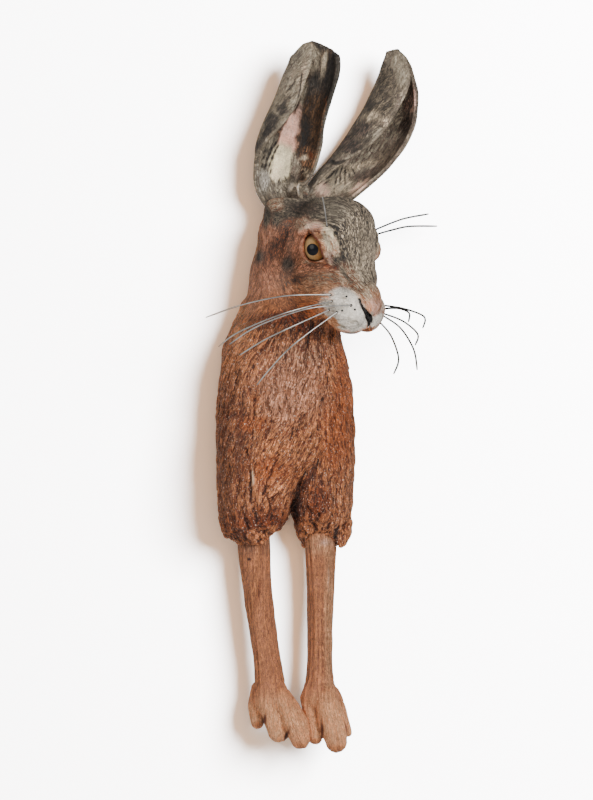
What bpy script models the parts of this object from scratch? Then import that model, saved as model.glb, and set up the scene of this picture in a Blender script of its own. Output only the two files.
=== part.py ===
# A wall-hung ceramic hare. Head, chest and two hanging forelegs are one piece of fired clay with a flat back,
# two glazed eyeballs sit in its sockets, and whiskers of thin steel wire are glued into drilled holes.
# Metres, +Z up. The wall is the plane Y = 0 and the hare faces -Y. The origin is on the flat back, between
# the shoulders, where the clay bears on the wall.

import math

import bmesh
import bpy
import numpy as np
from mathutils import Matrix, Vector, kdtree
from mathutils.bvhtree import BVHTree

# Driving sizes, in metres.
HARE_HEIGHT = 0.500  # ear tip to toe
EAR_THICKNESS = 0.0042  # the rolled slab of clay that an ear is made of
EYE_RADIUS = 0.0092
EYE_CLEARANCE = 0.0003
LID_THICKNESS = 0.0020
WIRE_DIAMETER = 0.0009
WIRE_CLEARANCE = 0.0003
WIRE_HOLE_DEPTH = 0.006
HANGING_HOLE_DIAMETER = 0.010
HANGING_HOLE_DEPTH = 0.015

# The free forms are drawn for a hare 500 units tall, so a unit is a millimetre at the real size.
DRAWN_HEIGHT = 500.0
UNIT = HARE_HEIGHT / DRAWN_HEIGHT
HEAD_TURN = math.radians(48)  # the head looks to the viewer's right
HEAD_CENTRE = (40.3, 55.0, 106.3)  # midway between the eyes: across, out from the wall, up
HANGING_HOLE_UP = 34.0  # how far above the origin the hanging hole is

# Meshing, in units.
SOFT_VOXEL = 1.7
CRISP_VOXEL = 1.25
BODY_TRIANGLES = 6000

MATERIALS = {
    "clay": ((0.42, 0.17, 0.08), 0.75, 0.0),
    "eye_glaze": ((0.45, 0.24, 0.06), 0.12, 0.0),
    "steel_wire": ((0.35, 0.35, 0.36), 0.35, 1.0),
}


def at(across, out, up):
    """A drawn point in the part's frame, in metres."""
    return Vector((across, -out, up)) * UNIT


def head_at(forward, left, up):
    """A point given from the middle of the eyes: forward along the face, to the hare's left, and up."""
    turn_sin, turn_cos = math.sin(HEAD_TURN), math.cos(HEAD_TURN)
    across = HEAD_CENTRE[0] + forward * turn_sin + left * turn_cos
    out = HEAD_CENTRE[1] + forward * turn_cos - left * turn_sin
    return at(across, out, HEAD_CENTRE[2] + up)


def head_axes():
    """The head's forward, left and up directions as the columns of a matrix."""
    turn_sin, turn_cos = math.sin(HEAD_TURN), math.cos(HEAD_TURN)
    forward, left = (turn_sin, -turn_cos, 0), (turn_cos, turn_sin, 0)
    return Matrix((forward, left, (0, 0, 1))).transposed()


def smooth_rows(rows, count):
    """Rows of numbers read at count even steps along a smooth curve through them."""
    table = np.array(rows, float)
    last = len(table) - 1
    read = []
    for step in np.linspace(0, last, count):
        i = min(int(step), last - 1)
        t = step - i
        before, here = table[max(i - 1, 0)], table[i]
        there, after = table[i + 1], table[min(i + 2, last)]
        read.append(
            0.5
            * (
                2 * here
                + (there - before) * t
                + (2 * before - 5 * here + 4 * there - after) * t * t
                + (3 * here - before - 3 * there + after) * t**3
            )
        )
    return np.array(read)


def bridge_rings(bm, rings):
    """Joins rings of points, in order, into a closed skin with both ends capped."""
    previous = None
    for number, ring in enumerate(rings):
        is_end = number in (0, len(rings) - 1)
        made = bmesh.ops.create_circle(bm, segments=len(ring), radius=1, cap_ends=is_end)
        for vert, point in zip(made["verts"], ring):
            vert.co = point
        edges = list({edge for vert in made["verts"] for edge in vert.link_edges})
        if previous:
            bmesh.ops.bridge_loops(bm, edges=previous + edges)
        previous = edges


def loft(bm, rows, place=at, power=2.5, count=28, sides=36):
    """A body of level sections. A row gives the middle (three numbers), the half width, and how far the section
    reaches in front of its middle and behind it. A power over 2 squares the sections."""
    rings = []
    for middle_a, middle_b, up, half, front, back in smooth_rows(rows, count):
        ring = []
        for side in range(sides):
            angle = math.tau * side / sides
            c, s = math.cos(angle), math.sin(angle)
            across = math.copysign(abs(c) ** (2 / power), c) * half
            deep = math.copysign(abs(s) ** (2 / power), s) * (front if s > 0 else back)
            if place is at:
                ring.append(place(middle_a + across, middle_b + deep, up))
            else:
                ring.append(place(middle_a + deep, middle_b + across, up))
        rings.append(ring)
    bridge_rings(bm, rings)


def ellipsoid(bm, centre, radii, axes=None, fineness=4):
    """A ball stretched to three radii, in units, along the given axes."""
    made = bmesh.ops.create_icosphere(bm, subdivisions=fineness, radius=1)
    turn = (axes or Matrix.Identity(3)).to_4x4()
    stretch = Matrix.Diagonal((*(r * UNIT for r in radii), 1))
    bmesh.ops.transform(bm, verts=made["verts"], matrix=Matrix.Translation(centre) @ turn @ stretch)


def tube(bm, points, radii, count=14, sides=14, rounded=True):
    """A round limb through the points, with rounded or flat ends. Points are in metres, radii in units."""
    rows = [(*point, radius * UNIT) for point, radius in zip(points, radii)]
    read = smooth_rows(rows, count)
    middles = [Vector(row[:3]) for row in read]
    rings = []
    for i, middle in enumerate(middles):
        along = (middles[min(i + 1, count - 1)] - middles[max(i - 1, 0)]).normalized()
        turn = along.to_track_quat("Z", "Y").to_matrix()
        ring = [
            middle + turn @ Vector((math.cos(a), math.sin(a), 0)) * read[i][3]
            for a in (math.tau * side / sides for side in range(sides))
        ]
        rings.append(ring)
    bridge_rings(bm, rings)
    if rounded:
        for middle, radius in ((middles[0], read[0][3]), (middles[-1], read[-1][3])):
            ellipsoid(bm, middle, [radius / UNIT] * 3, fineness=3)


def new_object(name, bm):
    mesh = bpy.data.meshes.new(name)
    bmesh.ops.recalc_face_normals(bm, faces=bm.faces)
    bm.to_mesh(mesh)
    bm.free()
    obj = bpy.data.objects.new(name, mesh)
    bpy.context.scene.collection.objects.link(obj)
    return obj


def settle(obj):
    """Makes the object's mesh what its modifiers give, and removes them."""
    graph = bpy.context.evaluated_depsgraph_get()
    mesh = bpy.data.meshes.new_from_object(obj.evaluated_get(graph))
    obj.modifiers.clear()
    old, obj.data = obj.data, mesh
    bpy.data.meshes.remove(old)
    return obj


def remesh(obj, voxel, rounds):
    """One closed skin over everything in the object, its seams softened by rounds of smoothing."""
    skin = obj.modifiers.new("skin", "REMESH")
    skin.mode = "VOXEL"
    skin.voxel_size = voxel * UNIT
    soften = obj.modifiers.new("soften", "SMOOTH")
    soften.factor = 0.5
    soften.iterations = rounds
    return settle(obj)


def cut(obj, cutter):
    """Takes the cutter's shape out of the object, and removes the cutter."""
    difference = obj.modifiers.new("cut", "BOOLEAN")
    difference.operation = "DIFFERENCE"
    difference.object = cutter
    settle(obj)
    bpy.data.objects.remove(cutter)


def torso_forms(bm):
    """The barrel of the chest and the two thick upper forelegs under their skirt of fur."""
    # across, out, up, half width, front, back
    loft(bm, [
        (1.0, 20, 70, 32, 24, 24),
        (-0.6, 20, 50, 39.6, 30, 24),
        (-0.8, 20, 36, 41.8, 33, 24),
        (-0.8, 20, 20, 45.2, 36, 24),
        (-0.1, 20, 0, 48.2, 38, 24),
        (0.0, 20, -20, 48.0, 37, 24),
        (0.2, 20, -40, 47.0, 34, 24),
        (0.6, 20, -54, 44.0, 28, 24),
        (1.0, 20, -66, 38.0, 22, 24),
    ], power=2.7)
    loft(bm, [
        (-10, 24, 16, 30, 26, 28),
        (-12, 24, -18, 35.0, 35, 28),
        (-14.5, 24, -42, 33.2, 38.5, 28),
        (-17.5, 24, -58, 29.6, 38, 28),
        (-20.0, 24, -70, 26.6, 36, 28),
        (-21.8, 24, -80, 24.0, 33, 26),
        (-24.0, 24, -88.5, 20.4, 29, 24),
        (-26.4, 24, -95.5, 15.6, 23, 18),
        (-25.0, 24, -100.5, 11.4, 16, 13),
    ], power=2.5)
    loft(bm, [
        (22, 20, 22, 20, 24, 24),
        (24.0, 20, -8, 23.6, 30, 24),
        (24.8, 20, -42, 23.6, 31, 24),
        (25.4, 20, -66, 22.2, 30, 24),
        (26.0, 20, -80, 19.8, 28, 22),
        (26.2, 20, -91, 17.8, 24, 20),
        (26.2, 21, -98, 15.4, 19, 16),
        (25.6, 22, -103.5, 11.6, 14, 13),
    ], power=2.4)


def head_forms(bm):
    """Skull, face, cheeks, muzzle pads and the thick neck that carries them down to the chest."""
    axes = head_axes()
    for centre, radii in (
        ((-10, 0, 9.0), (33, 28, 26.5)),
        ((-30, 0, 2), (30, 27, 30)),
        ((7, 0, -50.5), (15, 11.5, 9.6)),
    ):
        ellipsoid(bm, head_at(*centre), radii, axes)
    for side in (-1, 1):
        ellipsoid(bm, head_at(-10, 13.5 * side, -24), (28, 14.5, 26), axes)
        ellipsoid(bm, head_at(11.6, 9.8 * side, -44), (16, 12, 15.5), axes)
    ellipsoid(bm, at(9, 30, 113), (29, 26, 28.4))
    # forward, left, up, half width, front, back
    loft(bm, [
        (-8, 0, 27, 20, 18, 22),
        (-6, 0, 13, 24, 26, 26),
        (0, 0, 0, 19, 24, 24),
        (5, 0, -14, 15.5, 20.5, 21),
        (7, 0, -26, 14, 19.5, 20),
        (9, 0, -36, 12, 19, 19),
        (8, 0, -48, 10, 15, 16),
    ], place=head_at, power=2.2)
    # across, out, up, half width, front, back
    loft(bm, [
        (14.0, 24, 141.5, 20, 16, 22),
        (13.0, 24, 134, 28, 22, 27),
        (10.4, 24.5, 118, 33.0, 27, 28),
        (8.6, 25, 102, 35.4, 31, 28),
        (9.0, 25, 86, 37.0, 34, 28),
        (6.6, 24, 72, 37.8, 34, 28),
        (3.4, 23, 60, 39.0, 32, 27),
        (-0.4, 21, 45, 40.8, 30, 25),
    ], power=2.3)


def leg_forms(bm):
    """Two hanging forelegs, down to the wrists."""
    # across, out, up, and then the radius
    for rows in (
        [
            (-22.4, 23, -84, 11.8),
            (-21.9, 23, -104, 11.5),
            (-19.8, 23, -133, 10.4),
            (-16.4, 23.5, -160, 10.0),
            (-12.8, 24, -184, 9.9),
            (-10.9, 25, -201, 10.6),
        ],
        [
            (25.2, 22, -84, 11.0),
            (25.2, 22, -106, 10.8),
            (25.2, 22.5, -138, 9.8),
            (24.6, 23, -170, 9.2),
            (24.5, 24, -190, 9.6),
            (24.4, 25, -203, 11.4),
        ],
    ):
        tube(bm, [at(*row[:3]) for row in rows], [row[3] for row in rows], count=24, sides=24)
    ellipsoid(bm, at(-9.4, 27, -210.5), (12.6, 11.5, 15.0))
    ellipsoid(bm, at(24.6, 27, -211.5), (14.4, 11.5, 15.0))


# Each toe: the points that its middle passes (across, out, up), and its radius there.
TOES = (
    ((-19.4, 22, -203.5, 4.6), (-20.2, 23, -214.5, 5.6), (-18.9, 26, -224.9, 4.9)),
    ((-12.4, 30, -209.0, 6.0), (-8.8, 34, -223.5, 6.8), (-5.4, 36, -232.6, 6.2)),
    ((-2.6, 33, -209.0, 7.2), (6.4, 39, -226.0, 8.4), (9.8, 43, -236.6, 6.4)),
    ((14.6, 28, -207.5, 6.2), (19.0, 33, -224.0, 5.8), (21.2, 36, -236.0, 5.1)),
    ((28.8, 32, -209.5, 8.2), (33.0, 39, -228.0, 9.3), (35.2, 43, -239.2, 6.9)),
    ((38.6, 27, -216.0, 3.8), (41.6, 30, -225.0, 3.4), (43.8, 32, -232.6, 3.0)),
    ((34.6, 23, -206.5, 4.2), (36.8, 24, -212.5, 4.6), (37.4, 26, -217.0, 3.8)),
)


def toe_forms(bm):
    for toe in TOES:
        tube(bm, [at(*knot[:3]) for knot in toe], [knot[3] for knot in toe], count=9, sides=18)


def ear_slab(name, rows, opening, tip_drop):
    """An ear: a leaf of clay rolled round a spine. A row holds the spine point (across, out, up), the half width
    and half depth of the roll, and how far, in degrees, the slab wraps round on its near side and its far side.
    Opening gives the way that the roll is open at the root and at the tip."""
    steps, sides = 30, 26
    read = smooth_rows(rows, steps + 1)
    spine = [at(*row[:3]) for row in read]
    root_open, tip_open = (Vector((a, -o, u)).normalized() for a, o, u in opening)
    bm = bmesh.new()
    bmesh.ops.create_grid(bm, x_segments=sides, y_segments=steps, size=1)
    for vert in bm.verts:
        round_the_roll, share = vert.co.x, (vert.co.y + 1) / 2
        corner = 0.05 * abs(round_the_roll) ** 4
        share *= 1 - corner - tip_drop * max(0.0, round_the_roll)
        step = min(share * steps, steps - 1e-6)
        i = int(step)
        t = step - i
        row = read[i] * (1 - t) + read[i + 1] * t
        centre = spine[i].lerp(spine[i + 1], t)
        along = (spine[min(i + 2, steps)] - spine[max(i - 1, 0)]).normalized()
        opens = root_open.lerp(tip_open, share)
        opens = (opens - along * opens.dot(along)).normalized()
        wide = along.cross(opens)
        angle = math.radians(row[5] if round_the_roll < 0 else row[6]) * round_the_roll
        vert.co = (
            centre
            + wide * math.sin(angle) * row[3] * UNIT
            - opens * math.cos(angle) * row[4] * UNIT
        )
    ear = new_object(name, bm)
    slab = ear.modifiers.new("slab", "SOLIDIFY")
    slab.thickness = EAR_THICKNESS
    slab.offset = 0
    return settle(ear)


def near_ear():
    """The ear on the viewer's left, upright, its edge rolled over the opening."""
    # across, out, up, half width, half depth, wrap on the viewer's left, wrap on the right
    return ear_slab("near_ear", [
        (-2.5, 30, 136, 14, 11, 88, 90),
        (-3.0, 31, 152, 16.5, 11, 96, 92),
        (0.6, 32, 168, 20, 11, 112, 92),
        (4.6, 33, 184, 20.6, 10.5, 148, 92),
        (10.6, 34, 204, 17.6, 10, 170, 94),
        (16.6, 35, 222, 17.0, 9, 172, 98),
        (21.6, 36, 237, 15.6, 7.5, 172, 100),
        (21.6, 36, 252, 9.0, 3.5, 172, 100),
    ], opening=((-0.15, 1, 0), (-0.1, 1, 0.1)), tip_drop=0.06)


def far_ear():
    """The ear on the viewer's right, leaning out and curving up, seen mostly from its back."""
    return ear_slab("far_ear", [
        (22, 24, 134, 9.5, 13.5, 66, 150),
        (33, 23, 149, 10.5, 15.0, 66, 156),
        (44.5, 22, 160, 11.0, 15.8, 80, 162),
        (59.0, 22, 176, 11.0, 18.6, 102, 166),
        (71.0, 23, 194, 10.5, 19.6, 112, 168),
        (77.2, 24, 212, 9.5, 16.4, 128, 170),
        (77.6, 25, 228, 7.5, 10.8, 160, 172),
        (75.6, 26, 248, 4.0, 4.4, 172, 172),
    ], opening=((0.75, 0.5, -0.5), (0.9, 0.42, 0.1)), tip_drop=0.02)


# Where an eyeball's centre is from the middle of the eyes, and how it and its lids are set.
EYE_PLACE = (-2.0, 26.2, -1.0)  # forward, outwards, up
EYE_LOOKS_FORWARD = math.radians(31)
LID_LENGTH = 2.4 * EYE_RADIUS  # the almond between the lids
LID_WIDTH = 1.36 * EYE_RADIUS
LID_TILT = math.radians(16)


def eye_frame(side):
    """Where the eyeball on that side sits, and its axes: up the almond, across it to the nose, and out."""
    forward, left, up = EYE_PLACE
    centre = head_at(forward, left * side, up)
    ahead, leftwards, _ = (Vector(axis) for axis in head_axes().transposed())
    looks = ahead * math.sin(EYE_LOOKS_FORWARD) + leftwards * side * math.cos(EYE_LOOKS_FORWARD)
    to_nose = (ahead - looks * ahead.dot(looks)).normalized()
    upright = Vector((0, 0, 1))
    along = upright * math.cos(LID_TILT) - to_nose * math.sin(LID_TILT)
    across = to_nose * math.cos(LID_TILT) + upright * math.sin(LID_TILT)
    return centre, Matrix((along, across, looks)).transposed()


def lid_forms(bm):
    """The swelling of the lids over each ball, and the low brow between it and the forehead."""
    lid_radius = (EYE_RADIUS + EYE_CLEARANCE + LID_THICKNESS) / UNIT
    for side in (-1, 1):
        centre, axes = eye_frame(side)
        ellipsoid(bm, centre, [lid_radius] * 3)
        brow = [(12.5, -6, 3.0), (13.0, 4, 3.4), (8.5, 11.5, 2.6), (-1, 14.0, 1.2), (-10, 12.0, -1.0)]
        tube(bm, [centre + axes @ Vector(p) * UNIT for p in brow], [2.6, 3.6, 4.2, 4.2, 3.0], count=20)


def nose_forms(bm):
    ellipsoid(bm, head_at(23.4, 0, -36), (9.6, 8.8, 12.2), head_axes())


def socket_cutter(side):
    """The round socket and the almond between the lids, as one shape, so that no two cuts cross. The almond
    opens from a little in front of the ball's middle, and its upper corner is sharp."""
    centre, axes = eye_frame(side)
    radius = EYE_RADIUS + EYE_CLEARANCE
    edge_points, level_step, opens_above = 28, 18, 20  # the last two are degrees up the ball
    almond = []
    for step in range(edge_points):
        angle = math.tau * step / edge_points
        wide = abs(math.sin(angle)) ** (1 + 0.4 * math.cos(angle))
        across = math.copysign(wide, math.sin(angle)) * LID_WIDTH / 2
        almond.append(Vector((math.cos(angle) * LID_LENGTH / 2, across, 0)))
    levels = [(-radius, 0.12 * radius, False)]
    for degrees in range(level_step - 90, 90, level_step):
        reach = radius * math.sin(math.radians(degrees))
        levels.append((reach, radius * math.cos(math.radians(degrees)), degrees > opens_above))
    levels.append((3 * radius, 0, True))
    rings = []
    for reach, ball, is_open in levels:
        out = Vector((0, 0, reach))
        rings.append([
            centre + axes @ (edge.normalized() * max(ball, edge.length if is_open else 0) + out)
            for edge in almond
        ])
    bm = bmesh.new()
    bridge_rings(bm, rings)
    return new_object("socket_cutter", bm)


def nostril_cutter(side):
    """The comma of a nostril, running down into the split of the lip."""
    line = ((22.5, 11.6, -35.5), (27.0, 9.6, -40.5), (29.6, 6.9, -45.5), (29.8, 4.2, -50.5), (27.4, 2.2, -55))
    bm = bmesh.new()
    knots = [head_at(forward, left * side, up) for forward, left, up in line]
    tube(bm, knots, [1.0, 2.2, 2.8, 3.2, 2.2], count=9, sides=10, rounded=False)
    return new_object("nostril_cutter", bm)


def carve_locks(obj):
    """Raises long locks of fur down the chest and the skirt, each a low ridge that tapers to its tip."""
    lock_length, lock_width, lock_height = 36.0, 5.2, 2.3  # units
    rows_down, locks_round, samples = 12, 14, 14
    top_row, row_drop, spread, reach = 58.0, 12.5, 210.0, 62.0  # units, but the spread is degrees round the chest
    mesh = obj.data
    points = np.empty(len(mesh.vertices) * 3)
    normals = np.empty(len(mesh.vertices) * 3)
    mesh.vertices.foreach_get("co", points)
    mesh.vertices.foreach_get("normal", normals)
    points, normals = points.reshape(-1, 3) / UNIT, normals.reshape(-1, 3)
    # Only the front and flanks of the chest and skirt carry locks; the neck and the hem fade in and out.
    fade = np.clip((62 - points[:, 2]) / 20, 0, 1) * np.clip((points[:, 2] + 106) / 5, 0, 1)
    fade *= np.clip((-points[:, 1] - 3) / 6, 0, 1)
    furred = np.flatnonzero(fade > 0.2)
    surface = kdtree.KDTree(len(furred))
    for i in furred:
        surface.insert(points[i], int(i))
    surface.balance()
    dice = np.random.default_rng(7)
    trail, widths = [], []
    for row in range(rows_down):
        for place in range(locks_round):
            # Rows of locks lie like tiles, each row shifted by half a lock, and each lock a little astray.
            share = (place + 0.5 * (row % 2) + dice.uniform(-0.35, 0.35)) / locks_round
            angle = math.radians((share - 0.5) * spread)
            up = top_row - row_drop * row + dice.uniform(-5, 5)
            here, _, _ = surface.find((reach * math.sin(angle), -reach * math.cos(angle), up))
            downwards = Vector((dice.uniform(-0.28, 0.28), 0, -1)).normalized()
            for step in range(samples):
                trail.append(here)
                widths.append(lock_width * (0.35 + 0.65 * math.sin(math.pi * (step / samples) ** 0.6)))
                here, _, _ = surface.find(here + downwards * lock_length / samples)
    ridges = kdtree.KDTree(len(trail))
    for i, knot in enumerate(trail):
        ridges.insert(knot, i)
    ridges.balance()
    lift = np.zeros(len(points))
    for i in np.flatnonzero(fade > 0):
        _, knot, away = ridges.find(points[i])
        lift[i] = fade[i] * lock_height * (math.exp(-((1.6 * away / widths[knot]) ** 2)) - 0.45)
    moved = (points + normals * lift[:, None]) * UNIT
    mesh.vertices.foreach_set("co", moved.astype(np.float32).ravel())
    mesh.update()


def decimate(obj, triangles):
    mesh = obj.data
    mesh.calc_loop_triangles()
    thin = obj.modifiers.new("thin", "DECIMATE")
    thin.ratio = triangles / len(mesh.loop_triangles)
    thin.use_collapse_triangulate = True
    return settle(obj)


def hem_tufts():
    """The ragged ends of the skirt's fur round each leg, and the loose lock that hangs lowest of all."""
    bm = bmesh.new()
    tufts_per_leg = 13
    # across and out of the hem's middle, its half width and half depth, and how high it is
    for hem in ((-27.0, 24, 15.4, 20.5, -92.0), (26.2, 21, 15.6, 17.0, -95.0)):
        across, out, half_width, half_depth, up = hem
        for tuft in range(tufts_per_leg):
            angle = math.tau * (tuft + 0.3) / tufts_per_leg
            length = 9.0 + 3.5 * math.sin(tuft * 2.6)
            side, front = math.cos(angle), math.sin(angle)
            root = at(across + side * half_width, out + front * half_depth, up + 7)
            tip = at(across + side * half_width * 0.93, out + front * half_depth * 0.93, up - length)
            tube(bm, [root, root.lerp(tip, 0.5), tip], [3.2, 3.4, 1.7], count=6, sides=10)
    loose = [(40.8, 24, -60), (41.4, 28, -82), (39.0, 30, -102.0)]
    tube(bm, [at(*knot) for knot in loose], [4.4, 5.4, 3.2], count=12)
    return new_object("hem_tufts", bm)


# Whiskers on the near side sweep across the chest to the viewer's left, and those on the far side drop away
# on the right. The first point of each is its hole, given as across and up on the near side and as out and up
# on the far side, because the clay's own surface gives the third number. The rest are across, out, up.
NEAR_WHISKERS = {
    "whisker_near_1": ((31.4, 72.6), (0.4, 88, 71.4), (-30, 84, 65.2), (-54.5, 75, 57.0)),
    "whisker_near_2": ((32.4, 68.2), (0.4, 94, 59.6), (-31.5, 92, 46.5), (-45.5, 87, 36.6)),
    "whisker_near_3": ((45.6, 65.2), (15.6, 99, 62.3), (-18, 98, 50.6), (-38, 92, 38.0)),
    "whisker_near_4": ((30.6, 62.2), (0.6, 90, 48.3), (-16.4, 89, 39.8), (-31, 85, 30.8)),
    "whisker_near_5": ((35.8, 60.4), (7.0, 93, 38.8), (-9.0, 92, 22.6), (-19.2, 88, 10.2)),
    "brow_whisker_near": ((29.0, 119.8), (27.6, 84, 129.8), (25.8, 87, 139.4)),
}
FAR_WHISKERS = {
    "whisker_far_1": ((54.0, 66.0), (83.0, 40, 64.2), (98.0, 28, 58.8), (97.4, 20, 51.0)),
    "whisker_far_2": ((56.0, 63.6), (79.0, 48, 64.0), (87.0, 40, 61.0), (86.6, 36, 54.8)),
    "whisker_far_3": ((54.5, 60.4), (82.4, 42, 55.4), (93.4, 31, 46.4), (91.8, 24, 38.8)),
    "whisker_far_4": ((57.0, 58.6), (80.8, 48, 50.2), (90.2, 41, 35.4), (92.8, 36, 21.2)),
    "whisker_far_5": ((56.5, 53.6), (74.0, 52, 44.6), (79.4, 47, 29.0), (76.0, 44, 18.2)),
    "brow_whisker_far_1": ((41.5, 119.6), (76.0, 30, 125.2), (86.0, 26, 128.6), (101.4, 22, 131.6)),
    "brow_whisker_far_2": ((40.5, 116.4), (76.4, 28, 120.2), (88.0, 23, 122.8), (107.6, 18, 123.2)),
}
WHISKER_STEPS = 9


def whisker_routes(clay):
    """Each wire's middle line in metres: the bottom of its hole, the hole's mouth on the clay, and on to its tip."""
    bm = bmesh.new()
    bm.from_mesh(clay.data)
    surface = BVHTree.FromBMesh(bm)
    bm.free()
    mouths = {}
    for name, ((across, up), *_) in NEAR_WHISKERS.items():
        mouths[name], *_ = surface.ray_cast(at(across, DRAWN_HEIGHT, up), Vector((0, 1, 0)))
    for name, ((out, up), *_) in FAR_WHISKERS.items():
        mouths[name], *_ = surface.ray_cast(at(DRAWN_HEIGHT, out, up), Vector((-1, 0, 0)))
    routes = {}
    for name, (_, *rest) in (NEAR_WHISKERS | FAR_WHISKERS).items():
        points = [tuple(mouths[name])] + [tuple(at(*point)) for point in rest]
        route = [Vector(point) for point in smooth_rows(points, WHISKER_STEPS)]
        inward = (route[0] - route[1]).normalized()
        routes[name] = [route[0] + inward * (WIRE_HOLE_DEPTH - WIRE_CLEARANCE)] + route
    return routes


def whisker(name, route):
    """A steel wire: a curve bevelled to the wire's size, with filled ends."""
    curve = bpy.data.curves.new(name, "CURVE")
    curve.dimensions = "3D"
    curve.bevel_depth = WIRE_DIAMETER / 2
    curve.bevel_resolution = 1
    curve.use_fill_caps = True
    spline = curve.splines.new("POLY")
    spline.points.add(len(route) - 1)
    for knot, point in zip(spline.points, route):
        knot.co = (*point, 1)
    obj = bpy.data.objects.new(name, curve)
    bpy.context.scene.collection.objects.link(obj)
    return obj


def drill(bm, mouth, inward, radius, depth, sides, proud=0.006):
    """A round cutter of that depth under the surface, standing well proud of it."""
    turn = inward.to_track_quat("Z", "Y").to_matrix().to_4x4()
    middle = mouth + inward * (depth - proud) / 2
    bmesh.ops.create_cone(
        bm,
        cap_ends=True,
        segments=sides,
        radius1=radius,
        radius2=radius,
        depth=depth + proud,
        matrix=Matrix.Translation(middle) @ turn,
    )


def whisker_drills(routes):
    bm = bmesh.new()
    for route in routes.values():
        inward = (route[1] - route[2]).normalized()
        drill(bm, route[1], inward, WIRE_DIAMETER / 2 + WIRE_CLEARANCE, WIRE_HOLE_DEPTH, 8)
    return new_object("whisker_drills", bm)


def hanging_drill():
    bm = bmesh.new()
    drill(bm, at(0, 0, HANGING_HOLE_UP), Vector((0, -1, 0)), HANGING_HOLE_DIAMETER / 2, HANGING_HOLE_DEPTH, 16)
    return new_object("hanging_drill", bm)


def eye_ball(name, side):
    centre, axes = eye_frame(side)
    bm = bmesh.new()
    place = Matrix.Translation(centre) @ axes.to_4x4()
    bmesh.ops.create_uvsphere(bm, u_segments=16, v_segments=11, radius=EYE_RADIUS, matrix=place)
    return new_object(name, bm)


def wall_cutter():
    """Everything behind the wall's plane."""
    bm = bmesh.new()
    size = 1.2 * HARE_HEIGHT
    place = Matrix.Translation((0, size / 2, 0))
    bmesh.ops.create_cube(bm, size=size, matrix=place)
    return new_object("wall_cutter", bm)


def join(objects, name):
    """One object holding all of these meshes."""
    bm = bmesh.new()
    for obj in objects:
        bm.from_mesh(obj.data)
        bpy.data.objects.remove(obj)
    return new_object(name, bm)


def clay_hare():
    """The fired clay, from soft forms to drilled holes."""
    bm = bmesh.new()
    torso_forms(bm)
    head_forms(bm)
    leg_forms(bm)
    body = remesh(new_object("soft", bm), SOFT_VOXEL, 9)
    bm = bmesh.new()
    toe_forms(bm)
    lid_forms(bm)
    nose_forms(bm)
    details = new_object("details", bm)
    body = join([body, details, hem_tufts(), near_ear(), far_ear()], "hare")
    remesh(body, CRISP_VOXEL, 3)
    carve_locks(body)
    decimate(body, BODY_TRIANGLES)
    cut(body, wall_cutter())
    cut(body, hanging_drill())
    for side in (-1, 1):
        cut(body, nostril_cutter(side))
        cut(body, socket_cutter(side))
    return body


def material(name):
    colour, roughness, metallic = MATERIALS[name]
    made = bpy.data.materials.new(name)
    made.use_nodes = True
    shader = made.node_tree.nodes["Principled BSDF"]
    shader.inputs["Base Color"].default_value = (*colour, 1)
    shader.inputs["Roughness"].default_value = roughness
    shader.inputs["Metallic"].default_value = metallic
    made.diffuse_color = (*colour, 1)
    return made


def main():
    for obj in list(bpy.data.objects):
        bpy.data.objects.remove(obj)
    hare = clay_hare()
    routes = whisker_routes(hare)
    cut(hare, whisker_drills(routes))
    hare.data.materials.append(material("clay"))
    glaze, steel = material("eye_glaze"), material("steel_wire")
    for name, side in (("right_eye", -1), ("left_eye", 1)):
        ball = eye_ball(name, side)
        ball.data.shade_smooth()
        ball.data.materials.append(glaze)
    for name, route in routes.items():
        whisker(name, route).data.materials.append(steel)


main()
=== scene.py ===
import math

import bmesh
import bpy
import numpy as np
from mathutils import Matrix, Vector
from mathutils.bvhtree import BVHTree


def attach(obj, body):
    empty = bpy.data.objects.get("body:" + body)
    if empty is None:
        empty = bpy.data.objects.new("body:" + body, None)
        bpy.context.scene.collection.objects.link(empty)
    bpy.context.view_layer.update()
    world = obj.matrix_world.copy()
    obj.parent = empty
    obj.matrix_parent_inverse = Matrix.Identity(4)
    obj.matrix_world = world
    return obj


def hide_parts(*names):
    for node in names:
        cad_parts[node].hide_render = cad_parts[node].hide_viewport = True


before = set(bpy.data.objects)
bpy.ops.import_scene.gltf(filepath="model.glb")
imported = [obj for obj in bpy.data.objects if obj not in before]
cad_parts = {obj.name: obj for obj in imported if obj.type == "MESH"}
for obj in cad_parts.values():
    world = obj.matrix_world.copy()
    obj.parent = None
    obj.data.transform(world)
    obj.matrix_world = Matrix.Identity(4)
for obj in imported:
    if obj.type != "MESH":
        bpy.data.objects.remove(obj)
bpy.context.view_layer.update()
mm = 0.001
print("frame loaded")

# The camera looks straight at the wall, as in the photograph. Lengths in metres, the frame in pixels.
view = {"distance": 2.2, "across": 0.008, "lens": 92.36, "sensor": 24.0, "tall": 800, "wide": 593}

head = {"turn": math.radians(48), "centre": (40.3, 55.0, 106.3)}  # midway between the eyes: across, out, up
eye = {
    "radius": 9.2,
    "gap": 0.5,
    "lid": 1.8,
    "place": (-2.0, 26.2, -1.0),  # forward, outwards and up from the head's centre
    "looksForward": math.radians(31),
    # the lids' opening, in millimetres towards the nose and up from the ball's centre
    "opening": [
        (-4.6, 12.2), (-5.7, 8.0), (-6.4, 3.6), (-6.7, -1.4), (-5.9, -5.8), (-3.6, -9.2), (0.0, -10.4),
        (3.4, -10.8), (6.5, -10.8), (6.0, -7.9), (5.1, -4.6), (4.2, -0.6), (2.7, 3.4), (0.4, 6.0),
        (-2.2, 8.4)],
    "pupil": 0.44,  # share of the ball's radius
}


def at(across, out, up):
    return Vector((across, -out, up)) * mm


def headAt(forward, left, up):
    s, c = math.sin(head["turn"]), math.cos(head["turn"])
    across, out, height = head["centre"]
    return at(across + forward * s + left * c, out + forward * c - left * s, height + up)


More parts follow.
